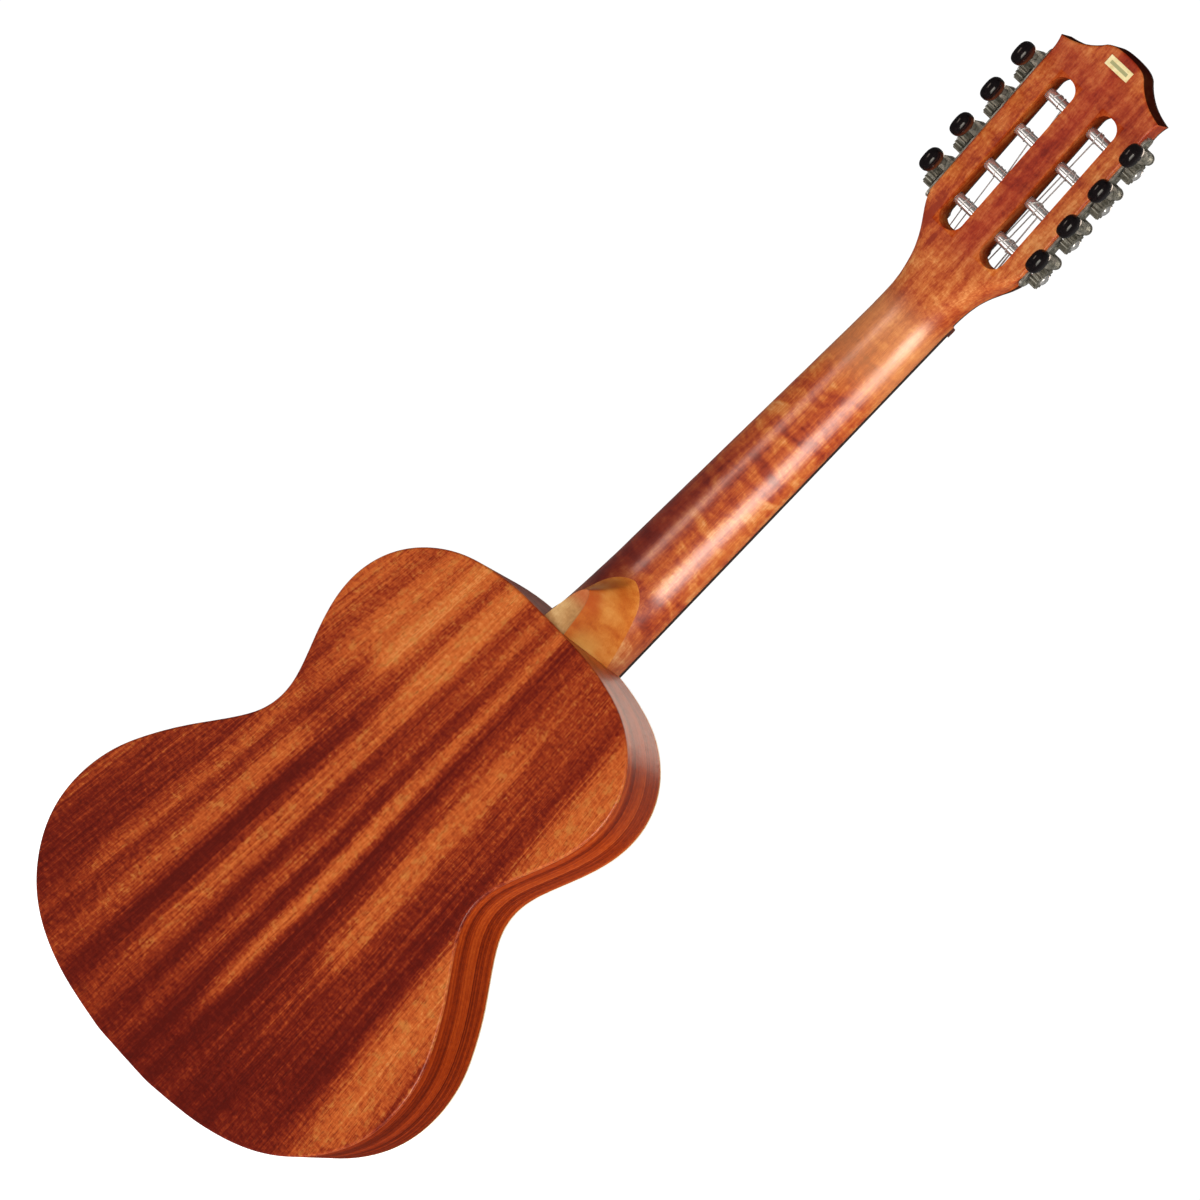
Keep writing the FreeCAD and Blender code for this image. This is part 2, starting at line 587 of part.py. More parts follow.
# ---------------------------------------------------------------- tuning machines
def plate(s):
    x0, x1 = HEAD_HW, HEAD_HW + PLATE_T
    r = (PLATE_H1 - PLATE_H0) / 2
    hm = (PLATE_H1 + PLATE_H0) / 2
    p = box(x0, x1, PLATE_H0, PLATE_H1, PLATE_A0 + 3, PLATE_A1 - 3)
    for a in (PLATE_A0 + 3, PLATE_A1 - 3):
        e = box(x0, x1, PLATE_H0 + 2.6, PLATE_H1 - 2.6, a - 3, a + 3)
        for h in (PLATE_H0 + 2.6, PLATE_H1 - 2.6):
            e = e.fuse(Part.makeCylinder(2.6, PLATE_T, V(x0, h, a), V(1, 0, 0)))
        p = p.fuse(e)
    for a in a_roll:
        aw = a + CENTRE
        for h0 in (ROLL_H - WORM_L / 2 - 0.15 - LUG_T, ROLL_H + WORM_L / 2 + 0.15):
            lug = box(x0, GEAR_X, h0, h0 + LUG_T, aw - 3.2, aw + 3.2)
            lug = lug.fuse(Part.makeCylinder(3.2, LUG_T, V(GEAR_X, h0, aw), V(0, 1, 0)))
            p = p.fuse(lug)
    p = p.removeSplitter()
    for a in a_roll:
        p = p.cut(xcyl(x0 - 1, x1 + 1, a, ROLL_H, ROLL_R + FIT))
        p = p.cut(Part.makeCylinder(SHAFT_R + FIT, 40, V(GEAR_X, -5, a + CENTRE), V(0, 1, 0)))
    for a in screw_a:
        p = p.cut(xcyl(x0 - 1, x1 + 1, a, ROLL_H, 1.0))
    if s < 0:
        p = p.mirror(V(0, 0, 0), V(1, 0, 0))
    return head(p)


save("tuner_plate_treble", plate(1))
save("tuner_plate_bass", plate(-1))

# gear: straight teeth about X, with a tooth gap facing the worm
def gear_solid():
    pts = []
    half = math.pi / TEETH
    rp = MODULE * TEETH / 2
    for k in range(TEETH):
        c = (k + 0.5) * 2 * math.pi / TEETH
        tr, tt = 0.62 / GEAR_RI, 0.27 / GEAR_RO
        for ang, rr in ((c - tr, GEAR_RI), (c - tt, GEAR_RO), (c + tt, GEAR_RO), (c + tr, GEAR_RI)):
            pts.append(V(0, rr * math.sin(ang), rr * math.cos(ang)))
    pts.append(pts[0])
    g = Part.Face(Part.makePolygon(pts)).extrude(V(GEAR_T, 0, 0))
    g.translate(V(-GEAR_T / 2, 0, 0))
    hub = Part.makeCylinder(2.0, GEAR_T + 2, V(-GEAR_T / 2 - 1, 0, 0), V(1, 0, 0))
    return g.cut(hub)


# worm: one right-hand thread about the headstock's depth axis
def worm_solid():
    p = math.pi * MODULE
    turns = 2.4
    step = 15
    n = int(turns * 360 / step)
    secs = []
    y_start = -turns * p / 2
    for i in range(n + 1):
        th = math.radians(i * step) - turns * math.pi + math.pi
        yc = y_start + p * (i * step) / 360.0
        # the thread faces the gear (direction -a) at the middle of its length
        fade = min(1.0, i / 3.0, (n - i) / 3.0)
        ro = WORM_RI + 0.05 + (WORM_RO - WORM_RI - 0.05) * fade
        rad = lambda rr, dy: V(rr * math.sin(th), yc + dy, rr * math.cos(th))
        hb, ht = 0.56, 0.18
        ri = WORM_RI - 0.30
        q = [rad(ri, -hb - 0.1), rad(ro, -ht), rad(ro, ht), rad(ri, hb + 0.1)]
        secs.append(Part.makePolygon(q + [q[0]]))
    thread = Part.makeLoft(secs, True, True)
    core = Part.makeCylinder(WORM_RI, WORM_L, V(0, -WORM_L / 2, 0), V(0, 1, 0))
    w = core.fuse(thread)
    return w, thread


worm, thread = worm_solid()
shaft_end = BTN_C + BTN_L / 2 - 2.0 - ROLL_H
sh = Part.makeCylinder(SHAFT_R, shaft_end + WORM_L / 2 + LUG_T + 0.9, V(0, -WORM_L / 2 - LUG_T - 0.9, 0), V(0, 1, 0))
worm = worm.fuse(sh).removeSplitter()
print("worm valid", worm.isValid(), "solids", len(worm.Solids), "thread volume", thread.Volume)
gear = gear_solid()


def button_solid():
    # rounded oblong knob, wide along the head, on a short collar; local axis Y
    secs = []
    c0 = BTN_C - ROLL_H
    prof = [(-6.0, 0.50, 0.62), (-5.6, 0.68, 0.78), (-4.6, 0.84, 0.90), (-3.0, 0.95, 0.97), (-1.0, 1.0, 1.0), (1.0, 1.0, 1.0), (3.0, 0.97, 0.97),
            (4.6, 0.88, 0.88), (5.5, 0.74, 0.74), (6.0, 0.55, 0.55)]
    for y, fa, fx in prof:
        A, B = BTN_W / 2 * fa, BTN_D / 2 * fx
        pts = []
        N = 32
        for i in range(N):
            th = 2 * math.pi * i / N
            cc, ss = math.cos(th), math.sin(th)
            pts.append(V(B * math.copysign(abs(cc) ** (2 / 2.6), cc), c0 + y, A * math.copysign(abs(ss) ** (2 / 2.6), ss)))
        c = Part.BSplineCurve()
        c.interpolate(Points=pts, PeriodicFlag=True)
        secs.append(Part.Wire([c.toShape()]))
    b = Part.makeLoft(secs, True, False)
    collar = Part.makeCone(2.5, 2.2, 3.0, V(0, c0 - 6.0 - 2.6, 0), V(0, 1, 0))
    b = b.fuse(collar)
    b = b.cut(Part.makeCylinder(SHAFT_R, shaft_end + 20, V(0, -20, 0), V(0, 1, 0)))
    return b.removeSplitter()


btn = button_solid()
print("button valid", btn.isValid(), len(btn.Solids))


def roller_solid(s, order):
    # local: axis X at the origin of (depth, along), at real x
    xi, xo = 3.2, GEAR_X - GEAR_T / 2 - 0.12
    post = Part.makeCylinder(ROLL_R, xo - xi, V(xi, 0, 0), V(1, 0, 0))
    stub = Part.makeCylinder(2.0, GEAR_T + 0.12, V(xo, 0, 0), V(1, 0, 0))
    scr = Part.makeCylinder(3.1, 0.7, V(GEAR_X + GEAR_T / 2, 0, 0), V(1, 0, 0))
    dome = Part.makeSphere(5.0, V(GEAR_X + GEAR_T / 2 + 0.7 - 3.923, 0, 0)).common(
        Part.makeCylinder(3.1, 3, V(GEAR_X + GEAR_T / 2 + 0.7, 0, 0), V(1, 0, 0)))
    scr = scr.fuse(dome).cut(box(GEAR_X + GEAR_T / 2 + 0.9, 60, -0.4, 0.4, -5, 5))
    xr, r = wind[(s, order)]
    xr = abs(xr)
    body = post.fuse(stub).fuse(scr)
    body = body.cut(Part.makeCylinder(0.6, 10, V(xr + (-5.2 if order < 2 else 5.2), -5, 0), V(0, 1, 0))).removeSplitter()
    out = [body]
    sg = -1 if order < 2 else 1
    for j in range(4):
        out.append(Part.makeTorus(ROLL_R + r + 0.02, r, V(xr + sg * (0.12 + (j + 1) * (2 * r + 0.05)), 0, 0), V(1, 0, 0)))
    c = Part.makeCompound(out)
    if s < 0:
        c = c.mirror(V(0, 0, 0), V(1, 0, 0))
    return c


for s, nm in ((-1, "bass"), (1, "treble")):
    for i, a in enumerate(a_roll):
        def put(shape, x, aa):
            c = shape.copy()
            c.translate(V(x, ROLL_H, aa))
            return head(c)
        save("%s_roller_%d" % (nm, i + 1), put(roller_solid(s, i), 0, a))
        save("%s_gear_%d" % (nm, i + 1), put(gear, s * GEAR_X, a))
        save("%s_worm_%d" % (nm, i + 1), put(worm, s * GEAR_X, a + CENTRE))
        save("%s_button_%d" % (nm, i + 1), put(btn, s * GEAR_X, a + CENTRE))

total = Part.makeCompound(list(NODES.values()))
bb_ = total.BoundBox
print("nodes", len(NODES), "box", [round(v, 2) for v in (bb_.XMin, bb_.XMax, bb_.YMin, bb_.YMax, bb_.ZMin, bb_.ZMax)])
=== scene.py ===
import bpy, json, math
from mathutils import Matrix, Vector


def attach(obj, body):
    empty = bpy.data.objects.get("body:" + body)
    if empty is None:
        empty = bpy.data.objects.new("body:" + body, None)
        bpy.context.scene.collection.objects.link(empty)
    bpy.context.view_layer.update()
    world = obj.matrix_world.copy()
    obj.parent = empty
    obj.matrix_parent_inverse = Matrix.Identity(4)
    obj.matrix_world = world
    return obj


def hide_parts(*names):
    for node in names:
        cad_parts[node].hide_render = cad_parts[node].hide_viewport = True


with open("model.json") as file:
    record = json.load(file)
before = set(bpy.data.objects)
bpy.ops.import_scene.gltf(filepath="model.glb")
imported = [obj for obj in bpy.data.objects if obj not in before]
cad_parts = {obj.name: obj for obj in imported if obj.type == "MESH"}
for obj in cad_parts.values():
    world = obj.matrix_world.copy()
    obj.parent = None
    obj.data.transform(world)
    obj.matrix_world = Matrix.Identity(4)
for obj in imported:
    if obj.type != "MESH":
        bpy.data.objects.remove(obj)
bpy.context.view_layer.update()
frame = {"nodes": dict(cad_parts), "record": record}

NODES = frame["nodes"]

# ------------------------------------------------------------------ headstock frame (mm -> metres)
PHI = math.radians(13.73)
SN, CS = math.sin(PHI), math.cos(PHI)
AX_X, AX_A, AX_H = Vector((1, 0, 0)), Vector((0, SN, CS)), Vector((0, CS, -SN))


def hp(x, a, h):
    return (AX_X * x + AX_A * a + AX_H * h) * 0.001


ROLL_A = [53.2 + 21.8 * i for i in range(4)]
ROLL_H, ROLL_R, GEAR_X, CENTRE = 8.47, 2.9, 35.5, 8.4
STR_R = [0.40, 0.36, 0.33, 0.30]
LANE = [16.2, 14.5, 12.8, 11.2]

# ------------------------------------------------------------------ camera
scene = bpy.context.scene
cam_data = bpy.data.cameras.new("camera")
cam_data.sensor_fit = "HORIZONTAL"
cam_data.sensor_width = 36.0
cam_data.lens = 130.020
cam_data.clip_start, cam_data.clip_end = 0.05, 60
cam = bpy.data.objects.new("camera", cam_data)
scene.collection.objects.link(cam)
scene.camera = cam
R_ = Vector((-0.6736765, -0.2290112, 0.7026476))
D_ = Vector((-0.6929056, -0.1348861, -0.7082990))
F_ = Vector((0.2569858, -0.9640330, -0.0678136))
C_ = Vector((-0.525074, 2.008244, -0.065587)) - R_ * 0.000357 - D_ * 0.000893
m = Matrix((
    (R_.x, -D_.x, -F_.x, C_.x),
    (R_.y, -D_.y, -F_.y, C_.y),
    (R_.z, -D_.z, -F_.z, C_.z),
    (0, 0, 0, 1)))
cam.matrix_world = m

# ------------------------------------------------------------------ light and stage
scene.view_settings.view_transform = "Standard"
scene.view_settings.look = "None"
world = bpy.data.worlds.new("studio")
scene.world = world
world.use_nodes = True
wb = world.node_tree.nodes["Background"]
wb.inputs["Color"].default_value = (1, 0.985, 0.97, 1)
wb.inputs["Strength"].default_value = 0.10


def area(name, loc, aim, w, h, radiance, glossy=True, diffuse=True, color=(1, 1, 1)):
    L = bpy.data.lights.new(name, "AREA")
    L.shape = "RECTANGLE"
    L.size, L.size_y = w, h
    L.energy = radiance * math.pi * w * h
    L.color = color
    o = bpy.data.objects.new(name, L)
    scene.collection.objects.link(o)
    o.location = loc
    d = (Vector(aim) - Vector(loc)).normalized()
    # local Y is kept as near to the row's Z as it can be
    zc = -d
    xc = Vector((0, 0, 1)).cross(zc).normalized()
    yc = zc.cross(xc)
    o.matrix_world = Matrix(((xc.x, yc.x, zc.x, loc[0]), (xc.y, yc.y, zc.y, loc[1]), (xc.z, yc.z, zc.z, loc[2]), (0, 0, 0, 1)))
    o.visible_camera = False
    o.visible_glossy = glossy
    o.visible_diffuse = diffuse
    return o


area("box_bass", (-1.45, 0.66, 0.28), (0, 0.02, -0.15), 1.5, 1.7, 2.3, glossy=False)
area("key_back", (-0.20, 1.9, 1.15), (0, 0.05, -0.20), 1.2, 1.2, 3.2, glossy=False)
area("behind_top", (0.05, -2.6, 0.78), (0, 0, -0.25), 1.2, 0.5, 4.2, color=(1.0, 0.82, 0.68))
area("front_fill", (0.9, -2.2, 0.2), (0, 0, -0.25), 1.5, 1.5, 1.6, glossy=False)
# two soft boxes seen only as gloss, for the long highlights of the lacquered neck
area("gloss_bass", (-1.27, 0.80, -0.20), (0, 0.02, -0.12), 1.05, 0.55, 5.4, diffuse=False, color=(1.0, 0.95, 0.84))
area("gloss_bass_inner", (-1.04, 1.08, -0.20), (0, 0.02, -0.12), 0.74, 0.55, 6.6, diffuse=False, color=(1.0, 0.93, 0.80))
area("gloss_treble", (0.86, 1.38, -0.19), (0, 0.02, -0.12), 0.42, 0.60, 5.4, diffuse=False, color=(1.0, 0.80, 0.68))


def head_dir(rho, dist):
    """a place seen from the machines at rho degrees from the headstock's back towards the crown"""
    e = math.radians(rho) - PHI
    return (0.257 * dist, 0.03 + 0.966 * math.cos(e) * dist, 0.08 + 0.966 * math.sin(e) * dist)


# two soft boxes reflected by the metal of the machines only: one low and one level, with a gap between them
machine_lights = [area("gloss_machine_low", head_dir(-60, 0.85), (0, 0.03, 0.08), 0.70, 0.60, 2.3, diffuse=False),
                  area("gloss_machine_mid", head_dir(4, 1.60), (0, 0.03, 0.08), 0.90, 0.50, 1.3, diffuse=False)]
machine_metal = bpy.data.collections.new("machine_metal")
for o_ in machine_lights:
    o_.light_linking.receiver_collection = machine_metal


def mesh_object(name, verts, faces, smooth=True):
    me = bpy.data.meshes.new(name)
    me.from_pydata([tuple(v) for v in verts], [], faces)
    me.update()
    if smooth:
        me.polygons.foreach_set("use_smooth", [True] * len(me.polygons))
    o = bpy.data.objects.new(name, me)
    scene.collection.objects.link(o)
    return o


# ------------------------------------------------------------------ node helpers
def lin(r, g, b):
    f = lambda c: (c / 255) / 12.92 if c / 255 <= 0.04045 else ((c / 255 + 0.055) / 1.055) ** 2.4
    return (f(r), f(g), f(b), 1)


class Mat:
    def __init__(self, name):
        self.m = bpy.data.materials.new(name)
        self.m.use_nodes = True
        self.t = self.m.node_tree
        self.t.nodes.clear()
        self.out = self.n("ShaderNodeOutputMaterial")
        self.b = self.n("ShaderNodeBsdfPrincipled")
        self.t.links.new(self.b.outputs[0], self.out.inputs["Surface"])
        tc = self.n("ShaderNodeTexCoord")
        self.tc = tc
        s = self.n("ShaderNodeVectorMath", operation="SCALE")
        s.inputs["Scale"].default_value = 1000.0
        self.t.links.new(tc.outputs["Object"], s.inputs[0])
        self.P = s.outputs[0]                      # object coordinates in millimetres
        sp = self.n("ShaderNodeSeparateXYZ")
        self.t.links.new(self.P, sp.inputs[0])
        self.x, self.y, self.z = sp.outputs

    def n(self, kind, **props):
        nd = self.t.nodes.new(kind)
        for k, v in props.items():
            setattr(nd, k, v)
        return nd

    def put(self, sock, v):
        if isinstance(v, bpy.types.NodeSocket):
            self.t.links.new(v, sock)
        else:
            sock.default_value = v

    def math(self, op, a, b=0.0, c=None, clamp=False):
        nd = self.n("ShaderNodeMath", operation=op, use_clamp=clamp)
        self.put(nd.inputs[0], a)
        self.put(nd.inputs[1], b)
        if c is not None:
            self.put(nd.inputs[2], c)
        return nd.outputs[0]

    def add(self, a, b): return self.math("ADD", a, b)
    def sub(self, a, b): return self.math("SUBTRACT", a, b)
    def mul(self, a, b): return self.math("MULTIPLY", a, b)
    def div(self, a, b): return self.math("DIVIDE", a, b)
    def mad(self, a, b, c): return self.math("MULTIPLY_ADD", a, b, c)

    def vec(self, x, y, z):
        nd = self.n("ShaderNodeCombineXYZ")
        for s, v in zip(nd.inputs, (x, y, z)):
            self.put(s, v)
        return nd.outputs[0]

    def noise(self, v, scale=1.0, detail=2.0, rough=0.5, dist=0.0):
        nd = self.n("ShaderNodeTexNoise")
        self.put(nd.inputs["Vector"], v)
        nd.inputs["Scale"].default_value = scale
        nd.inputs["Detail"].default_value = detail
        nd.inputs["Roughness"].default_value = rough
        nd.inputs["Distortion"].default_value = dist
        return nd.outputs[0]

    def voro(self, v, scale=1.0, feature="F1", rand=1.0, out="Distance"):
        nd = self.n("ShaderNodeTexVoronoi", feature=feature)
        self.put(nd.inputs["Vector"], v)
        nd.inputs["Scale"].default_value = scale
        nd.inputs["Randomness"].default_value = rand
        return nd.outputs[out]

    def stretch(self, sx, sy, sz, v=None):
        nd = self.n("ShaderNodeVectorMath", operation="MULTIPLY")
        self.put(nd.inputs[0], v or self.P)
        nd.inputs[1].default_value = (sx, sy, sz)
        return nd.outputs[0]

    def ramp(self, f, stops, interp="LINEAR"):
        nd = self.n("ShaderNodeValToRGB")
        cr = nd.color_ramp
        cr.interpolation = interp
        while len(cr.elements) > 1:
            cr.elements.remove(cr.elements[0])
        cr.elements[0].position = stops[0][0]
        for i, (p, c) in enumerate(stops):
            e = cr.elements[0] if i == 0 else cr.elements.new(p)
            e.color = c if hasattr(c, "__len__") else (c, c, c, 1)
        self.put(nd.inputs[0], f)
        return nd.outputs[0]

    def span(self, v, a, b, lo=0.0, hi=1.0, smooth=True):
        nd = self.n("ShaderNodeMapRange", interpolation_type="SMOOTHSTEP" if smooth else "LINEAR")
        self.put(nd.inputs["Value"], v)
        nd.inputs["From Min"].default_value, nd.inputs["From Max"].default_value = a, b
        nd.inputs["To Min"].default_value, nd.inputs["To Max"].default_value = lo, hi
        return nd.outputs[0]

    def mix(self, f, a, b, blend="MIX"):
        nd = self.n("ShaderNodeMix", data_type="RGBA", blend_type=blend)
        self.put(nd.inputs[0], f)
        self.put(nd.inputs[6], a)
        self.put(nd.inputs[7], b)
        return nd.outputs[2]

    def bump(self, h, dist_mm, strength=1.0, normal=None):
        nd = self.n("ShaderNodeBump")
        nd.inputs["Strength"].default_value = strength
        nd.inputs["Distance"].default_value = dist_mm * 0.001
        self.put(nd.inputs["Height"], h)
        if normal is not None:
            self.put(nd.inputs["Normal"], normal)
        self.put(self.b.inputs["Normal"], nd.outputs[0])
        return nd.outputs[0]

    def set(self, **kw):
        for k, v in kw.items():
            self.put(self.b.inputs[k.replace("_", " ")], v)
        return self


def wood_detail(M, u, v, l, s, pore=0.75, fibre=0.10, fleck=0.25, fine=0.16):
    """fibres, cross flecks and pores added to a stripe value s; u, v lie across the grain and l along it (mm)"""
    fi = M.noise(M.vec(M.mul(u, 2.2), M.mul(v, 2.2), M.mul(l, 0.035)), detail=3)
    s = M.add(s, M.mul(M.sub(fi, 0.5), fibre * 4))
    fl = M.noise(M.vec(M.mul(u, 0.30), M.mul(v, 0.30), M.mul(l, 0.62)), detail=2, dist=0.6)
    s = M.add(s, M.mul(M.sub(fl, 0.5), fleck * 2.4))
    gr = M.noise(M.vec(M.mul(u, 1.3), M.mul(v, 1.3), M.mul(l, 0.42)), detail=2, rough=0.6)
    s = M.add(s, M.mul(M.sub(gr, 0.5), fine * 4))
    po = M.noise(M.vec(M.mul(u, 3.4), M.mul(v, 3.4), M.mul(l, 0.24)), detail=1)
    pm = M.span(po, 0.60, 0.70)
    return s, fi, gr, pm


# ------------------------------------------------------------------ woods
def back_wood(name):
    M = Mat(name)
    # stripes fan out slightly towards the tail
    fan = M.sub(1.0, M.mul(M.add(M.z, 370.0), 0.0013))
    xf = M.div(M.x, fan)
    w1 = M.noise(M.stretch(0.012, 0.012, 0.0065), detail=1)
    w2 = M.noise(M.stretch(0.09, 0.09, 0.012), detail=2)
    xw = M.add(xf, M.add(M.mul(M.sub(w1, 0.5), 4.0), M.mul(M.sub(w2, 0.5), 4.0)))
    pos = M.mad(xw, 1 / 230.0, 0.5)
    st = [(-112, .50), (-100, .62), (-87, .92), (-79, .74), (-70, .22), (-63, .24), (-57, .36), (-50, .33), (-43, .66), (-37, .80),
          (-31, .62), (-25, .34), (-20, .04), (-15, .20), (-11, .80), (-7, .66), (-2, .14), (0, .06), (5, .52), (9, .38), (13, .05),
          (18, .34), (25, .78), (30, .56), (35, .16), (39, .06), (44, .48), (51, .82), (59, .40), (67, .56), (76, .24), (104, .60)]
    s = M.ramp(pos, [((a / 230.0 + 0.5), b) for a, b in st], "CARDINAL")
    lo = M.noise(M.stretch(0.035, 0.035, 0.010), detail=2)
    s = M.add(s, M.mul(M.sub(lo, 0.5), 0.50))
    # thin dark growth lines
    tl = M.noise(M.vec(M.mul(xw, 0.50), 0.0, M.mul(M.z, 0.0020)), detail=4, rough=0.68)
    s = M.add(s, M.mul(M.sub(tl, 0.5), 1.35))
    # the stripes are softer at the shoulders, and the colour is drawn darker towards the tail
    mid = M.mul(M.span(M.z, -300.0, -370.0, 0.58, 0.84), M.span(M.z, -440.0, -495.0, 1.0, 0.45))
    s = M.add(M.mul(M.sub(s, 0.42), mid), M.add(M.span(M.z, -380.0, -500.0, 0.0, -0.12), M.span(M.z, -370.0, -300.0, 0.38, 0.46)))
    # places where a stripe fades out or comes in
    for x0, x1, x2, x3, z0, z1, z2, z3, amt in (
            (-50, -43, -31, -25, -395, -425, -600, -601, -0.30), (-48, -42, -30, -24, -200, -201, -262, -292, -0.20),
            (-18, -14, -5, 0, -440, -480, -600, -601, -0.26), (8, 18, 120, 121, -200, -201, -275, -330, 0.20),
            (42, 47, 55, 60, -290, -306, -330, -350, -0.30), (-102, -92, -74, -66, -395, -420, -600, -601, 0.04),
            (-8, -4, 6, 11, -200, -201, -268, -290, 0.10)):
        px = M.mul(M.span(xw, x0, x1), M.span(xw, x3, x2))
        pz = M.mul(M.span(M.z, z0, z1), M.span(M.z, z3, z2))
        s = M.add(s, M.mul(M.mul(px, pz), amt))
    s, fi, gr, pm = wood_detail(M, xw, M.y, M.z, s, fleck=0.26, fine=0.11, fibre=0.12)
    col = M.ramp(s, [(0.0, lin(90, 13, 2)), (0.22, lin(112, 23, 4)), (0.45, lin(150, 50, 14)), (0.68, lin(188, 84, 32)),
                     (0.90, lin(206, 106, 44)), (1.0, lin(216, 130, 66))])
    gf = M.noise(M.vec(M.mul(xw, 0.26), 0.0, M.mul(M.z, 0.16)), detail=3, rough=0.65, dist=0.5)
    col = M.mix(M.mul(M.mul(M.span(gf, 0.50, 0.66), M.span(s, 0.42, 0.72)), 0.50), col, lin(196, 128, 58))
    col = M.mix(M.mul(pm, 0.45), col, lin(66, 12, 3), "MIX")
    # the rounded outer edge is rubbed smoother and glossier
    nsep = M.n("ShaderNodeSeparateXYZ")
    M.t.links.new(M.tc.outputs["Normal"], nsep.inputs[0])
    ny = nsep.outputs[1]
    edge = M.mul(M.span(ny, 0.10, 0.35), M.span(ny, 0.97, 0.80))
    inner = M.span(ny, -0.2, -0.6)
    col = M.mix(M.mul(inner, 0.6), col, lin(176, 112, 74))
    M.set(Base_Color=col, Roughness=M.span(gr, 0.3, 0.7, 0.36, 0.52), Specular_IOR_Level=0.10,
          Coat_Weight=M.mul(edge, 0.55), Coat_Roughness=0.26, Coat_IOR=1.5)
    M.bump(M.sub(M.mul(fi, 0.5), pm), 0.06, 0.5)
    return M.m


def side_wood(name):
    M = Mat(name)
    s0 = M.noise(M.vec(M.mul(M.x, 0.006), M.mul(M.y, 0.11), M.mul(M.z, 0.006)), detail=3, rough=0.6)
    yw = M.add(M.y, M.mul(M.sub(M.noise(M.stretch(0.009, 0.02, 0.009), detail=1), 0.5), 9.0))
    lines = M.noise(M.vec(M.mul(M.x, 0.004), M.mul(yw, 0.55), M.mul(M.z, 0.004)), detail=4, rough=0.7)
    pos = M.mul(yw, 1 / 80.0)
    band = M.ramp(pos, [(0.0, .45), (0.18, .62), (0.30, .40), (0.38, .24), (0.43, .52), (0.55, .62), (0.66, .50), (0.71, .26), (0.76, .50),
                        (0.90, .66), (1.0, .50)], "B_SPLINE")
    s = M.add(M.mul(band, 0.75), M.add(M.mul(M.sub(s0, 0.5), 0.8), M.mul(M.sub(lines, 0.5), 1.5)))
    # the colour is drawn darker towards the tail
    s = M.add(s, M.span(M.z, -360.0, -500.0, 0.0, -0.26))
    # short flecks across the grain, along y
    fl = M.noise(M.stretch(0.5, 0.20, 0.5), detail=2)
    s = M.add(s, M.mul(M.sub(fl, 0.5), 0.35))
    gr = M.noise(M.stretch(0.9, 1.9, 0.9), detail=2, rough=0.6)
    s = M.add(s, M.mul(M.sub(gr, 0.5), 0.45))
    po = M.span(M.noise(M.stretch(0.20, 3.2, 0.20), detail=1), 0.60, 0.70)
    col = M.ramp(s, [(0.0, lin(92, 23, 5)), (0.25, lin(134, 40, 7)), (0.5, lin(168, 60, 13)), (0.75, lin(194, 84, 26)), (1.0, lin(214, 124, 64))])
    col = M.mix(M.mul(po, 0.40), col, lin(84, 26, 12))
    M.set(Base_Color=col, Roughness=M.add(M.span(gr, 0.3, 0.7, -0.05, 0.06), M.span(M.z, -250.0, -288.0, 0.34, 0.56)), Specular_IOR_Level=M.span(M.z, -284.0, -244.0, 0.02, 0.45),
          IOR=1.38)
    M.bump(M.sub(M.mul(lines, 0.4), po), 0.06, 0.5)
    return M.m


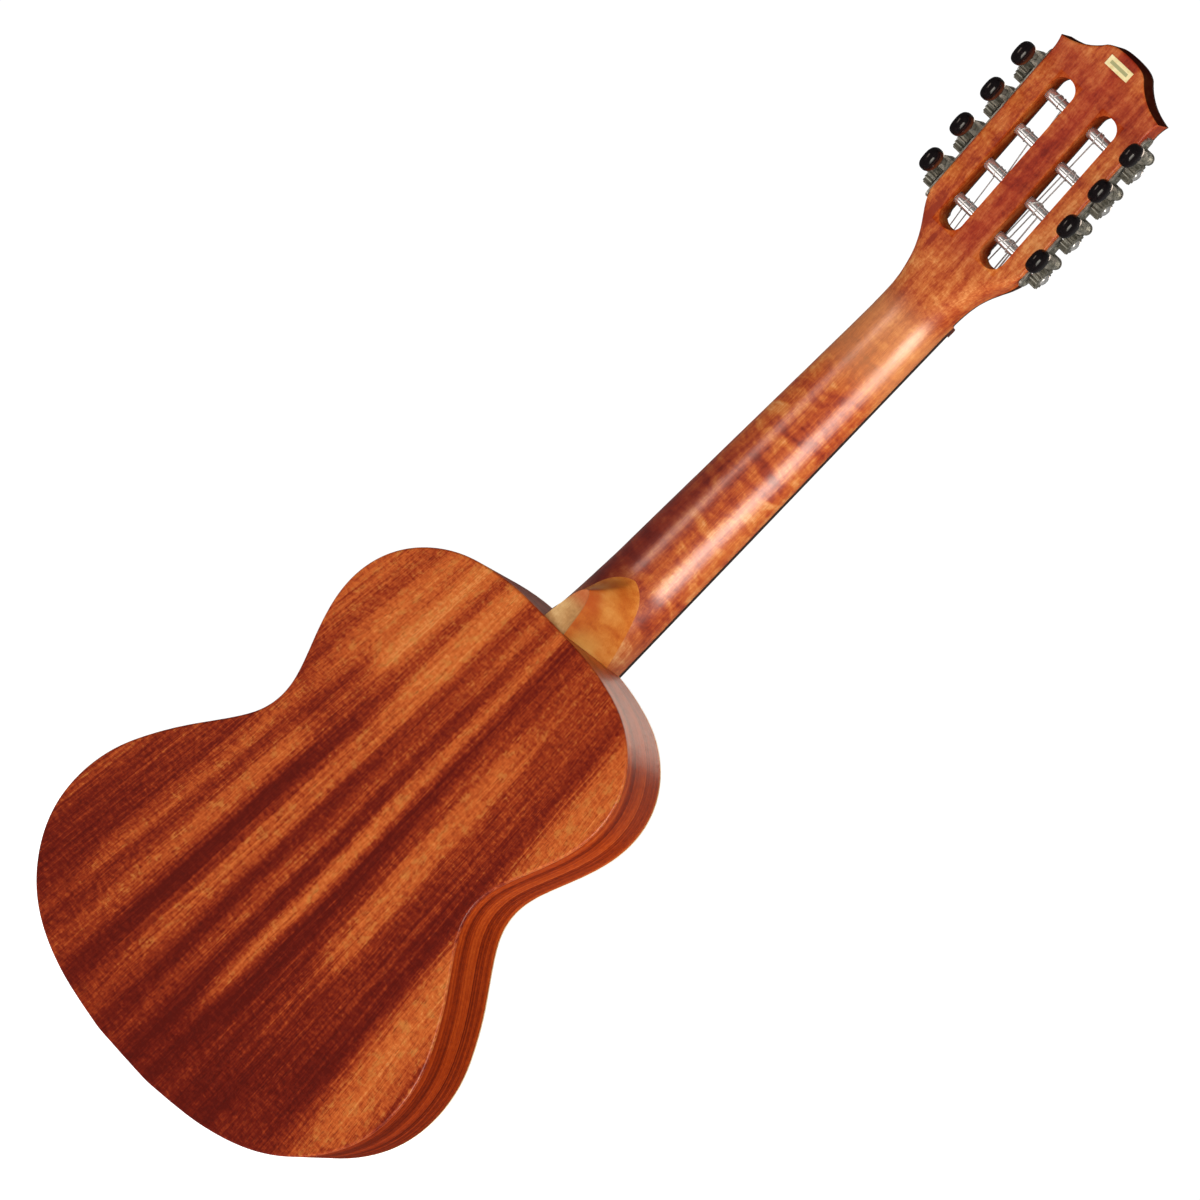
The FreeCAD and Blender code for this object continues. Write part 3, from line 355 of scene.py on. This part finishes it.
def neck_wood(name):
    M = Mat(name)
    a = M.add(M.mul(M.y, SN), M.mul(M.z, CS))                 # distance up the headstock
    warp = M.noise(M.stretch(0.03, 0.03, 0.008), detail=2)
    xw = M.add(M.x, M.mul(M.sub(warp, 0.5), 9.0))
    s = M.mul(M.noise(M.vec(M.mul(xw, 0.16), M.mul(M.y, 0.10), M.mul(M.z, 0.006)), detail=3, rough=0.6), 1.0)
    # flame: soft patches lying across the grain
    f1 = M.noise(M.vec(M.mul(xw, 0.045), M.mul(M.y, 0.045), M.mul(M.z, 0.085)), detail=2, dist=0.8)
    f2 = M.noise(M.vec(M.mul(xw, 0.13), M.mul(M.y, 0.13), M.mul(M.z, 0.22)), detail=2, dist=0.5)
    hm = M.span(a, -34.0, 6.0)
    calm = M.sub(1.0, M.mul(hm, 0.62))
    s = M.add(s, M.mul(calm, M.add(M.mul(M.sub(f1, 0.5), 1.5), M.mul(M.sub(f2, 0.5), 0.7))))
    # long streaks up the headstock
    st = M.noise(M.vec(M.mul(M.x, 0.20), M.mul(M.y, 0.05), M.mul(M.z, 0.022)), detail=3, rough=0.6, dist=0.3)
    s = M.add(s, M.mul(hm, M.mul(M.sub(st, 0.5), 0.95)))
    lines = M.noise(M.vec(M.mul(xw, 0.9), M.mul(M.y, 0.9), M.mul(M.z, 0.010)), detail=4, rough=0.65)
    s = M.add(s, M.mul(M.sub(lines, 0.5), 0.55))
    s, fi, gr, pm = wood_detail(M, xw, M.y, M.z, s, fleck=0.16, fine=0.09, fibre=0.07)
    col = M.ramp(s, [(0.0, lin(128, 34, 9)), (0.25, lin(164, 56, 17)), (0.5, lin(194, 87, 29)), (0.75, lin(216, 124, 54)), (1.0, lin(232, 160, 96))])
    # headstock: paler orange with a redder strip between the slots and under the crown
    cx = M.div(M.add(M.x, M.mul(M.sub(f1, 0.5), 9.0)), 9.0)
    redc = M.math("POWER", 2.718, M.mul(M.mul(cx, cx), -1.0))
    top = M.mul(M.span(a, 118.0, 134.0), M.span(a, 152.0, 140.0))
    redc = M.math("MAXIMUM", M.mul(redc, M.span(a, 24.0, 44.0)), M.mul(top, 0.85))
    sh = M.add(M.mul(M.sub(s, 0.5), 1.5), 0.46)
    headc = M.mix(M.math("MULTIPLY", redc, 0.85, clamp=True), M.ramp(sh, [(0.0, lin(142, 44, 14)), (0.3, lin(172, 70, 23)), (0.6, lin(194, 100, 42)),
                                                       (1.0, lin(216, 140, 76))]), M.ramp(sh, [(0.0, lin(112, 16, 4)), (0.5, lin(148, 31, 8)),
                                                       (1.0, lin(176, 62, 24))]))
    col = M.mix(hm, col, headc)
    # golden near the nut
    gn = M.mul(M.span(M.z, -58.0, -34.0), M.span(M.z, 4.0, -14.0))
    col = M.mix(M.mul(gn, 0.42), col, lin(232, 158, 96))
    # darker, redder streak on the treble side towards the heel
    xs = M.add(M.x, M.mul(M.sub(warp, 0.5), 6.0))
    dk = M.mul(M.span(xs, -1.0, 11.0), M.span(M.z, -92.0, -150.0))
    col = M.mix(M.mul(dk, 0.88), col, M.ramp(s, [(0.0, lin(100, 12, 4)), (0.6, lin(132, 28, 9)), (1.0, lin(158, 54, 22))]))
    gold = M.span(M.z, -196.0, -214.0)
    col = M.mix(M.mul(gold, 0.75), col, M.ramp(s, [(0.0, lin(170, 74, 30)), (0.5, lin(202, 104, 48)), (1.0, lin(232, 168, 104))]))
    col = M.mix(M.mul(pm, 0.22), col, lin(96, 30, 14))
    # painted shade: the slot walls are drawn darker the deeper they go; the end faces of the crown are drawn nearly
    # black
    h = M.sub(M.mul(M.y, CS), M.mul(M.z, SN))
    ax = M.math("ABSOLUTE", M.x)
    within = M.mul(M.mul(M.span(ax, 6.2, 6.9), M.span(ax, 21.2, 20.5)), M.mul(M.span(a, 38.6, 39.4), M.span(a, 132.2, 131.4)))
    # painted shade that deepens towards the bottom of each slot
    slot_depth_shade = M.span(h, 16.4, 4.0, 0.0, 0.45, smooth=False)
    col = M.mix(M.mul(within, slot_depth_shade), col, lin(34, 9, 2))
    nsep = M.n("ShaderNodeSeparateXYZ")
    M.t.links.new(M.tc.outputs["Normal"], nsep.inputs[0])
    na = M.add(M.mul(nsep.outputs[1], SN), M.mul(nsep.outputs[2], CS))
    nh = M.sub(M.mul(nsep.outputs[1], CS), M.mul(nsep.outputs[2], SN))
    # the end faces of the crown are drawn nearly black
    crown = M.mul(M.mul(M.span(na, 0.15, 0.45), M.span(nh, 0.75, 0.35)), M.span(a, 136.0, 142.0))
    col = M.mix(M.mul(crown, 0.95), col, lin(40, 7, 4))
    M.set(Base_Color=col, Roughness=M.span(gr, 0.3, 0.7, 0.32, 0.44), Specular_IOR_Level=M.mul(0.2, M.sub(1.0, M.math("MAXIMUM", within, crown))), Coat_Weight=M.span(a, 12.0, -10.0, 0.04, 0.85), Coat_Roughness=0.26, Coat_IOR=1.62)
    M.bump(M.sub(M.mul(fi, 0.4), pm), 0.03, 0.35)
    return M.m


def heel_wood(name):
    M = Mat(name)
    f1 = M.noise(M.stretch(0.05, 0.035, 0.06), detail=1, dist=0.3)
    f2 = M.noise(M.stretch(0.22, 0.05, 0.30), detail=3, dist=0.3)
    s = M.add(M.mul(M.sub(f1, 0.5), 1.2), M.add(M.mul(M.sub(f2, 0.5), 0.8), 0.50))
    s, fi, gr, pm = wood_detail(M, M.x, M.y, M.z, s, fleck=0.10, fine=0.09, fibre=0.07)
    col = M.ramp(s, [(0.0, lin(178, 76, 20)), (0.25, lin(200, 98, 30)), (0.5, lin(216, 124, 46)), (0.75, lin(228, 148, 68)), (1.0, lin(238, 176, 100))])
    cap = M.ramp(s, [(0.0, lin(150, 100, 54)), (0.4, lin(188, 136, 80)), (0.7, lin(210, 164, 106)), (1.0, lin(226, 190, 138))])
    col = M.mix(M.span(M.y, 68.6, 69.6), col, cap)
    # redder just under the cap, golden beside the body
    red = M.mul(M.mul(M.span(M.y, 46.0, 60.0), M.span(M.z, -214.0, -205.0)), 0.8)
    col = M.mix(M.mul(red, 0.8), col, lin(190, 70, 22))
    gold = M.mul(M.mul(M.span(M.z, -214.0, -223.0), M.span(M.y, 66.0, 52.0)), M.span(M.y, 30.0, 40.0))
    col = M.mix(M.mul(gold, 0.45), col, lin(226, 170, 84))
    M.set(Base_Color=col, Roughness=M.span(gr, 0.3, 0.7, 0.30, 0.42), Specular_IOR_Level=0.2, Coat_Weight=0.22, Coat_Roughness=0.22, Coat_IOR=1.5)
    M.bump(M.sub(M.mul(fi, 0.4), pm), 0.03, 0.3)
    return M.m


def spruce_wood(name):
    M = Mat(name)
    ax = M.math("ABSOLUTE", M.x)
    w = M.noise(M.vec(M.mul(ax, 0.02), 0.0, M.mul(M.z, 0.004)), detail=2)
    xw = M.add(ax, M.mul(M.sub(w, 0.5), 6.0))
    # growth rings closer at the seam than at the rim
    ph = M.mul(M.math("POWER", M.add(xw, 2.0), 0.90), 4.4)
    ring = M.math("SINE", M.add(ph, M.mul(M.noise(M.vec(M.mul(xw, 0.12), 0.0, M.mul(M.z, 0.004)), detail=2), 9.0)))
    late = M.math("POWER", M.mad(ring, 0.5, 0.5), 3.0)
    fi = M.noise(M.vec(M.mul(M.x, 3.0), M.mul(M.y, 3.0), M.mul(M.z, 0.045)), detail=3)
    silk = M.noise(M.vec(M.mul(M.x, 0.16), 0.0, M.mul(M.z, 0.5)), detail=2, dist=0.7)
    tone = M.noise(M.vec(M.mul(M.x, 0.025), 0.0, M.mul(M.z, 0.008)), detail=2)
    s = M.add(M.mul(late, 0.36), M.add(M.mul(M.sub(fi, 0.5), 0.6), M.add(M.mul(M.sub(silk, 0.5), 0.42), M.mul(M.sub(tone, 0.5), 0.9))))
    s = M.add(s, 0.06)
    col = M.ramp(s, [(0.0, lin(232, 194, 138)), (0.3, lin(226, 184, 124)), (0.6, lin(206, 156, 96)), (1.0, lin(176, 122, 70))])
    seam = M.span(ax, 0.16, 0.06)
    col = M.mix(M.mul(seam, 0.7), col, lin(150, 104, 62))
    M.set(Base_Color=col, Roughness=M.span(fi, 0.3, 0.7, 0.36, 0.50), Specular_IOR_Level=0.4)
    M.bump(M.add(late, M.mul(fi, 0.5)), 0.05, 0.4)
    return M.m


def plain_wood(name, dark, mid, light, along="z", rough=(0.5, 0.66), spec=0.3, line=1.0, coat=0.0):
    """raw or dark woods: streaks, fibres and pores along one axis"""
    M = Mat(name)
    u, v, l = {"z": (M.x, M.y, M.z), "x": (M.z, M.y, M.x), "y": (M.x, M.z, M.y)}[along]
    w = M.noise(M.vec(M.mul(u, 0.05), M.mul(v, 0.05), M.mul(l, 0.012)), detail=2)
    uw = M.add(u, M.mul(M.sub(w, 0.5), 6.0))
    s = M.noise(M.vec(M.mul(uw, 0.30 * line), M.mul(v, 0.30 * line), M.mul(l, 0.012)), detail=4, rough=0.62)
    s, fi, gr, pm = wood_detail(M, uw, v, l, s, fleck=0.08, fine=0.08)
    col = M.ramp(s, [(0.15, dark), (0.5, mid), (0.85, light)])
    col = M.mix(M.mul(pm, 0.5), col, dark)
    M.set(Base_Color=col, Roughness=M.span(gr, 0.3, 0.7, rough[0], rough[1]), Specular_IOR_Level=spec, Coat_Weight=coat, Coat_Roughness=0.2)
    M.bump(M.sub(M.mul(fi, 0.5), pm), 0.06, 0.5)
    return M.m


def rosette_mat(name):
    M = Mat(name)
    zz = M.add(M.z, 306.0)
    r = M.math("SQRT", M.add(M.mul(M.x, M.x), M.mul(zz, zz)))
    th = M.math("ARCTAN2", M.x, zz)
    t = M.mul(th, 96 / (2 * math.pi))
    # band of diamonds between fine black and white lines
    u = M.math("ABSOLUTE", M.sub(M.math("FRACT", t), 0.5))
    v = M.div(M.math("ABSOLUTE", M.sub(r, 34.5)), 3.1)
    dia = M.add(u, M.mul(v, 0.5))
    inner = M.span(dia, 0.27, 0.25, smooth=False)
    core = M.span(dia, 0.13, 0.11, smooth=False)
    band = M.mix(inner, lin(58, 26, 16), lin(226, 196, 140))
    band = M.mix(core, band, lin(150, 44, 28))
    wood = M.noise(M.vec(M.mul(M.x, 2.5), M.mul(M.y, 2.5), M.mul(M.z, 0.3)), detail=2)
    band = M.mix(M.mul(M.span(wood, 0.35, 0.7), 0.25), band, lin(40, 20, 12))
    rr = M.mul(M.sub(r, 31.5), 1 / 6.0)
    lines = M.ramp(rr, [(0.0, lin(24, 18, 16)), (0.075, lin(228, 206, 160)), (0.135, lin(24, 18, 16)), (0.19, lin(178, 60, 34)), (0.24, lin(24, 18, 16)),
                        (0.76, lin(24, 18, 16)), (0.765, lin(178, 60, 34)), (0.815, lin(24, 18, 16)), (0.87, lin(228, 206, 160)), (0.93, lin(24, 18, 16))],
                   "CONSTANT")
    mid = M.mul(M.span(rr, 0.255, 0.262, smooth=False), M.span(rr, 0.745, 0.738, smooth=False))
    col = M.mix(mid, lines, band)
    M.set(Base_Color=col, Roughness=M.span(wood, 0.3, 0.7, 0.3, 0.42), Specular_IOR_Level=0.4)
    M.bump(wood, 0.02, 0.3)
    return M.m


def bone_mat(name):
    M = Mat(name)
    n1 = M.noise(M.stretch(0.25, 0.5, 0.6), detail=3)
    n2 = M.noise(M.stretch(0.9, 4.0, 4.0), detail=2)
    pits = M.span(M.noise(M.stretch(1.2, 6.0, 6.0), detail=0), 0.64, 0.72)
    col = M.ramp(n1, [(0.25, lin(214, 198, 164)), (0.5, lin(232, 220, 192)), (0.8, lin(242, 234, 214))])
    col = M.mix(M.mul(pits, 0.35), col, lin(170, 146, 106))
    M.set(Base_Color=col, Roughness=M.span(n2, 0.3, 0.7, 0.24, 0.40), Specular_IOR_Level=0.5, Subsurface_Weight=0.15, Subsurface_Radius=(0.002, 0.0015, 0.001),
          Subsurface_Scale=0.3)
    M.bump(M.sub(n2, pits), 0.03, 0.3)
    return M.m


def nut_mat(name):
    """bone nut whose ends are stained and lacquered with the neck"""
    M = Mat(name)
    n1 = M.noise(M.stretch(0.18, 0.5, 0.5), detail=3)
    n2 = M.noise(M.stretch(2.4, 2.4, 2.4), detail=3)
    col = M.ramp(n1, [(0.3, lin(226, 214, 184)), (0.7, lin(240, 232, 208))])
    nsep = M.n("ShaderNodeSeparateXYZ")
    M.t.links.new(M.tc.outputs["Normal"], nsep.inputs[0])
    end = M.span(M.math("ABSOLUTE", nsep.outputs[0]), 0.4, 0.7)
    col = M.mix(end, col, M.ramp(n1, [(0.3, lin(58, 22, 12)), (0.7, lin(92, 38, 20))]))
    M.set(Base_Color=col, Roughness=M.span(n2, 0.3, 0.7, 0.28, 0.42), Specular_IOR_Level=0.4)
    M.bump(n2, 0.01, 0.3)
    return M.m


def pearl_mat(name):
    M = Mat(name)
    n1 = M.noise(M.stretch(0.5, 0.5, 0.9), detail=4, dist=1.6)
    col = M.ramp(n1, [(0.2, lin(222, 214, 206)), (0.4, lin(226, 236, 232)), (0.5, lin(238, 222, 226)), (0.62, lin(204, 224, 222)), (0.8, lin(244, 240, 226))])
    M.set(Base_Color=col, Roughness=M.span(n1, 0.2, 0.8, 0.12, 0.30), Metallic=0.15, Specular_IOR_Level=0.8, Coat_Weight=0.8, Coat_Roughness=0.06)
    M.bump(n1, 0.01, 0.3)
    return M.m


def metal_mat(name, c0, c1, rough, dirt=None, amount=0.3, scale=1.0, bump=0.01, metal=1.0):
    M = Mat(name)
    n1 = M.noise(M.stretch(0.35 * scale, 0.35 * scale, 0.35 * scale), detail=4, rough=0.6)
    n2 = M.noise(M.stretch(5.0, 1.2, 2.4), detail=3, rough=0.6)
    col = M.ramp(n1, [(0.3, c0), (0.7, c1)])
    if dirt:
        d = M.noise(M.stretch(0.55 * scale, 0.55 * scale, 0.55 * scale), detail=3, rough=0.7, dist=0.4)
        col = M.mix(M.mul(M.span(d, 0.50, 0.68), amount), col, dirt)
    M.set(Base_Color=col, Metallic=metal, Roughness=M.span(M.add(M.mul(n2, 0.5), M.mul(n1, 0.5)), 0.3, 0.7, rough[0], rough[1]))
    M.bump(n2, bump, 0.4)
    return M.m


def roller_mat(name):
    """bright plated rollers"""
    M = Mat(name)
    n1 = M.noise(M.stretch(0.4, 0.4, 0.4), detail=3)
    n2 = M.noise(M.stretch(5.0, 1.5, 2.4), detail=3, rough=0.6)
    col = M.ramp(n1, [(0.3, lin(232, 228, 224)), (0.7, lin(248, 246, 242))])
    d = M.noise(M.stretch(0.7, 0.7, 0.7), detail=3, rough=0.7, dist=0.4)
    col = M.mix(M.mul(M.span(d, 0.60, 0.74), 0.30), col, lin(120, 108, 92))
    M.set(Base_Color=col, Metallic=0.80, Roughness=M.span(n2, 0.3, 0.7, 0.17, 0.23), Specular_IOR_Level=0.5)
    M.bump(n2, 0.0006, 0.2)
    return M.m


def knob_mat(name):
    M = Mat(name)
    n1 = M.noise(M.stretch(0.8, 0.8, 0.8), detail=3)
    n2 = M.noise(M.stretch(3.2, 3.2, 3.2), detail=2)
    col = M.ramp(n1, [(0.3, lin(11, 8, 9)), (0.6, lin(19, 13, 14)), (0.8, lin(32, 21, 22))])
    M.set(Base_Color=col, Roughness=M.span(n2, 0.3, 0.7, 0.22, 0.34), Specular_IOR_Level=0.05, IOR=1.22, Coat_Weight=0.60, Coat_Roughness=0.12, Coat_IOR=1.45)
    M.bump(n1, 0.02, 0.25)
    return M.m


def nylon_mat(name):
    M = Mat(name)
    n1 = M.noise(M.stretch(0.6, 0.6, 0.6), detail=2)
    n2 = M.noise(M.stretch(4.0, 4.0, 0.4), detail=2)
    col = M.ramp(n1, [(0.3, lin(206, 202, 196)), (0.7, lin(234, 230, 224))])
    M.set(Base_Color=col, Roughness=M.span(n2, 0.3, 0.7, 0.16, 0.30), Specular_IOR_Level=0.6, Transmission_Weight=0.15, IOR=1.53)
    M.bump(n2, 0.005, 0.3)
    return M.m


def label_mat(name):
    M = Mat(name)
    a = M.add(M.mul(M.y, SN), M.mul(M.z, CS))
    ex = M.math("ABSOLUTE", M.x)
    ea = M.math("ABSOLUTE", M.sub(a, 150.2))
    n1 = M.noise(M.stretch(0.5, 0.5, 0.5), detail=3)
    n2 = M.noise(M.stretch(3.0, 3.0, 3.0), detail=3)
    col = M.ramp(n1, [(0.3, lin(226, 204, 138)), (0.7, lin(246, 232, 180))])
    bar = M.mul(M.span(ex, 5.3, 5.1), M.span(ea, 0.95, 0.75))
    col = M.mix(M.mul(bar, 0.85), col, lin(150, 152, 104))
    M.set(Base_Color=col, Roughness=M.span(n2, 0.3, 0.7, 0.35, 0.5), Metallic=0.2, Specular_IOR_Level=0.5)
    M.bump(n2, 0.01, 0.3)
    return M.m


MATS = {
    "back_mahogany": back_wood("back_mahogany"),
    "side_mahogany": side_wood("side_mahogany"),
    "spruce": spruce_wood("spruce"),
    "internal_cedar": plain_wood("internal_cedar", lin(120, 66, 38), lin(158, 96, 58), lin(190, 128, 84), "z"),
    "brace_spruce": plain_wood("brace_spruce", lin(176, 132, 84), lin(208, 166, 112), lin(226, 192, 142), "x"),
    "rosette_inlay": rosette_mat("rosette_inlay"),
    "dark_rosewood": plain_wood("dark_rosewood", lin(24, 14, 11), lin(44, 26, 20), lin(78, 46, 33), "z", (0.38, 0.52), 0.35),
    "bone": bone_mat("bone"),
    "neck_mahogany": neck_wood("neck_mahogany"),
    "heel_mahogany": heel_wood("heel_mahogany"),
    "pale_label": label_mat("pale_label"),
    "nickel_silver": metal_mat("nickel_silver", lin(204, 198, 184), lin(222, 216, 204), (0.30, 0.42), bump=0.001, metal=0.8),
    "pearl_dot": pearl_mat("pearl_dot"),
    "nickel_plate": metal_mat("nickel_plate", lin(124, 121, 110), lin(172, 168, 156), (0.24, 0.42), lin(62, 58, 46), 0.55, metal=0.62),
    "gear_metal": metal_mat("gear_metal", lin(106, 102, 90), lin(152, 148, 134), (0.26, 0.44), lin(54, 50, 38), 0.55, metal=0.62),
    "chrome_roller": roller_mat("chrome_roller"),
    "black_knob": knob_mat("black_knob"),
    "nylon_string": nylon_mat("nylon_string"),
}
nut_bone = nut_mat("bone_nut")
rosewood_x = plain_wood("dark_rosewood_bridge", lin(28, 16, 12), lin(52, 31, 23), lin(88, 54, 38), "x", (0.40, 0.55), 0.35)

# ------------------------------------------------------------------ CAD nodes: materials and shading
slot_of = {}
for mrec in frame["record"].get("materials", []):
    for nd in mrec.get("nodes", []) or mrec.get("applies_to", []) or []:
        slot_of[nd] = mrec["slot"]
for name, o in NODES.items():
    s = slot_of.get(name)
    if s is None and o.data.materials and o.data.materials[0]:
        s = o.data.materials[0].name.split(".")[0]
    if s not in MATS:
        print("NO MATERIAL FOR", name, s, [m_.name for m_ in o.data.materials if m_])
        continue
    mt = {"bridge": rosewood_x, "nut": nut_bone}.get(name, MATS[s])
    if not o.data.materials:
        o.data.materials.append(mt)
    for i in range(len(o.data.materials)):
        o.data.materials[i] = mt
    if s in ("chrome_roller", "nickel_plate", "gear_metal"):
        machine_metal.objects.link(o)

# ------------------------------------------------------------------ detailed pieces for the machines
def ring_loft(name, rings, close=True):
    """rings: lists of points of the same length; quads between them, with end caps"""
    n = len(rings[0])
    verts = [p for r in rings for p in r]
    faces = []
    for i in range(len(rings) - 1):
        for j in range(n):
            k = (j + 1) % n
            faces.append((i * n + j, i * n + k, (i + 1) * n + k, (i + 1) * n + j))
    if close:
        faces.append(tuple(reversed(range(n))))
        faces.append(tuple(range((len(rings) - 1) * n, len(rings) * n)))
    return mesh_object(name, verts, faces)


def fix_normals(o):
    import bmesh
    bm = bmesh.new()
    bm.from_mesh(o.data)
    bmesh.ops.recalc_face_normals(bm, faces=bm.faces)
    bm.to_mesh(o.data)
    bm.free()
    o.data.update()


def tube(name, pts, r, n=10):
    """closed round tube along points in metres"""
    P = [Vector(p) for p in pts]
    T = [(P[min(i + 1, len(P) - 1)] - P[max(i - 1, 0)]).normalized() for i in range(len(P))]
    ref = Vector((0, 0, 1)) if abs(T[0].z) < 0.9 else Vector((1, 0, 0))
    u = (ref - T[0] * ref.dot(T[0])).normalized()
    rings = []
    for p, t in zip(P, T):
        u = (u - t * u.dot(t)).normalized()
        v = t.cross(u)
        rings.append([p + (u * math.cos(2 * math.pi * k / n) + v * math.sin(2 * math.pi * k / n)) * r for k in range(n)])
    o = ring_loft(name, rings)
    fix_normals(o)
    return o


def sharp(o, deg=35):
    o.data.set_sharp_from_angle(angle=math.radians(deg))


for sgn, side in ((-1, "bass"), (1, "treble")):
    for i, a in enumerate(ROLL_A):
        c_i = (i // 2) if sgn < 0 else 3 - (i // 2)          # course of the string on this roller
        r = STR_R[c_i]
        # --- roller: post with beads, collars and a cross hole boss
        nm = "%s_roller_%d" % (side, i + 1)
        xe = GEAR_X - 2.3 - 0.12
        prof = [(3.2, 0.0), (3.2, 2.55), (3.35, 2.82), (3.6, 2.9), (6.3, 2.9), (6.75, 2.9), (6.85, 2.72), (7.15, 2.62), (7.45, 2.72), (7.55, 2.9),
                (8.0, 2.9), (8.5, 2.9), (19.4, 2.9), (19.9, 2.9), (20.0, 2.72), (20.3, 2.62), (20.6, 2.72), (20.7, 2.9), (22.0, 2.9), (xe - 0.3, 2.9), (xe, 2.75), (xe, 2.0),
                (GEAR_X + 2.3, 2.0), (GEAR_X + 2.3, 2.9), (GEAR_X + 2.42, 3.1), (GEAR_X + 2.95, 3.1), (GEAR_X + 3.15, 2.98), (GEAR_X + 3.6, 2.35),
                (GEAR_X + 3.9, 1.5), (GEAR_X + 4.02, 0.6), (GEAR_X + 4.05, 0.0)]
        n = 48
        rings = []
        for (x, rad) in prof:
            rad = max(rad, 0.02)
            rings.append([hp(sgn * x, a, ROLL_H) + (AX_A * math.cos(2 * math.pi * k / n) + AX_H * math.sin(2 * math.pi * k / n)) * (rad * 0.001) for k in range(n)])
        post = ring_loft("roller_post_%s_%d" % (side, i + 1), rings)
        fix_normals(post)
        sharp(post, 30)
        post.data.materials.append(MATS["chrome_roller"])
        machine_metal.objects.link(post)
        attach(post, nm)
        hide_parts(nm)
        # --- string windings, starting where the string meets the roller, and its end through the hole
        xr = sgn * LANE[i]
        sg = (-1 if i < 2 else 1) * sgn
        r = 0.72 * r
        R = ROLL_R + r + 0.03
        pitch = 2 * r + 0.05
        turns = 1.2 if sgn < 0 else 1.0
        pts = []
        steps = int(turns * 36)
        ph0 = math.radians(-8.0)
        for k in range(steps + 1):
            ph = ph0 + 2 * math.pi * k / 36.0
            adv = 0.12 + r + pitch * (k / 36.0) + 0.25
            rr_ = R + (0.10 if k < 3 else 0.0)
            pts.append(hp(xr + sg * adv, a + rr_ * math.sin(ph), ROLL_H - rr_ * math.cos(ph)))
        # over to the hole and out at the back
        ph = ph0 + 2 * math.pi * steps / 36.0
        xh = xr + sg * 5.2
        x_last = xr + sg * (0.12 + r + pitch * turns + 0.25)
        for k in range(1, 13):
            t = k / 12.0
            ang = ph + t * ((math.pi - ph) % (2 * math.pi))
            pts.append(hp(x_last + (xh - x_last) * t, a + R * math.sin(ang), ROLL_H - R * math.cos(ang)))
        pts.append(hp(xh + sg * 0.1, a - 0.25, ROLL_H + R + 0.5))
        pts.append(hp(xh + sg * 0.3, a - 0.8, ROLL_H + R + 1.0))
        w = tube("string_winding_%s_%d" % (side, i + 1), pts, r * 0.001, 10)
        w.data.materials.append(MATS["nylon_string"])
        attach(w, nm)
        # --- button: rounded oblong head on a flared neck
        bn = "%s_button_%d" % (side, i + 1)
        c0 = 31.6
        prof = [(-8.55, .30, .56), (-8.5, .36, .66), (-7.9, .37, .68), (-7.2, .34, .62), (-6.5, .36, .64), (-6.0, .52, .70), (-5.5, .70, .82), (-4.6, .85, .91),
                (-3.2, .95, .97), (-1.4, 1.0, 1.0), (0.6, 1.0, 1.0), (2.0, .985, .98), (3.2, .93, .92), (4.1, .85, .84), (4.8, .74, .73), (5.3, .62, .61),
                (5.65, .48, .47), (5.86, .33, .32), (5.97, .17, .17), (6.0, .04, .04)]
        rings = []
        n = 44
        for (h, fa, fx) in prof:
            A, B = 6.2 * fa, 3.7 * fx
            e = 2 / (2.0 + 0.7 * min(1.0, max(0.0, (h + 6.6) / 3.0)))
            ring = []
            for k in range(n):
                th = 2 * math.pi * k / n
                cc, ss = math.cos(th), math.sin(th)
                ring.append(hp(sgn * GEAR_X + B * math.copysign(abs(cc) ** e, cc), a + CENTRE + A * math.copysign(abs(ss) ** e, ss), c0 + h))
            rings.append(ring)
        b = ring_loft("button_%s_%d" % (side, i + 1), rings)
        fix_normals(b)
        b.data.materials.append(MATS["black_knob"])
        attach(b, bn)
        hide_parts(bn)

# ------------------------------------------------------------------ floor and white surround
fl = Mat("floor_pale")
fn = fl.noise(fl.stretch(0.004, 0.004, 0.004), detail=2)
fl.set(Base_Color=fl.ramp(fn, [(0.3, lin(244, 244, 243)), (0.7, lin(250, 250, 249))]), Roughness=0.9, Specular_IOR_Level=0.0,
       Emission_Color=(1, 1, 1, 1), Emission_Strength=0.95)
floor = mesh_object("floor", [(-9, -9, -0.90), (9, -9, -0.90), (9, 9, -0.90), (-9, 9, -0.90)], [(0, 1, 2, 3)], smooth=False)
floor.data.materials.append(fl.m)
floor.visible_glossy = False

sm = bpy.data.materials.new("surround_white")
sm.use_nodes = True
sm.node_tree.nodes.clear()
em = sm.node_tree.nodes.new("ShaderNodeEmission")
em.inputs["Strength"].default_value = 1.05
so = sm.node_tree.nodes.new("ShaderNodeOutputMaterial")
sm.node_tree.links.new(em.outputs[0], so.inputs["Surface"])
NU, NV = 32, 16
sv, sf = [], []
for j in range(NV + 1):
    for i in range(NU):
        t, p = math.pi * j / NV, 2 * math.pi * i / NU
        sv.append((15 * math.sin(t) * math.cos(p), 15 * math.sin(t) * math.sin(p), 15 * math.cos(t)))
for j in range(NV):
    for i in range(NU):
        k = (i + 1) % NU
        sf.append((j * NU + i, j * NU + k, (j + 1) * NU + k, (j + 1) * NU + i))
surround = mesh_object("surround", sv, sf)
surround.data.materials.append(sm)
for attr in ("visible_diffuse", "visible_glossy", "visible_transmission", "visible_volume_scatter", "visible_shadow"):
    setattr(surround, attr, False)

# ------------------------------------------------------------------ final update of the scene
bpy.context.view_layer.update()
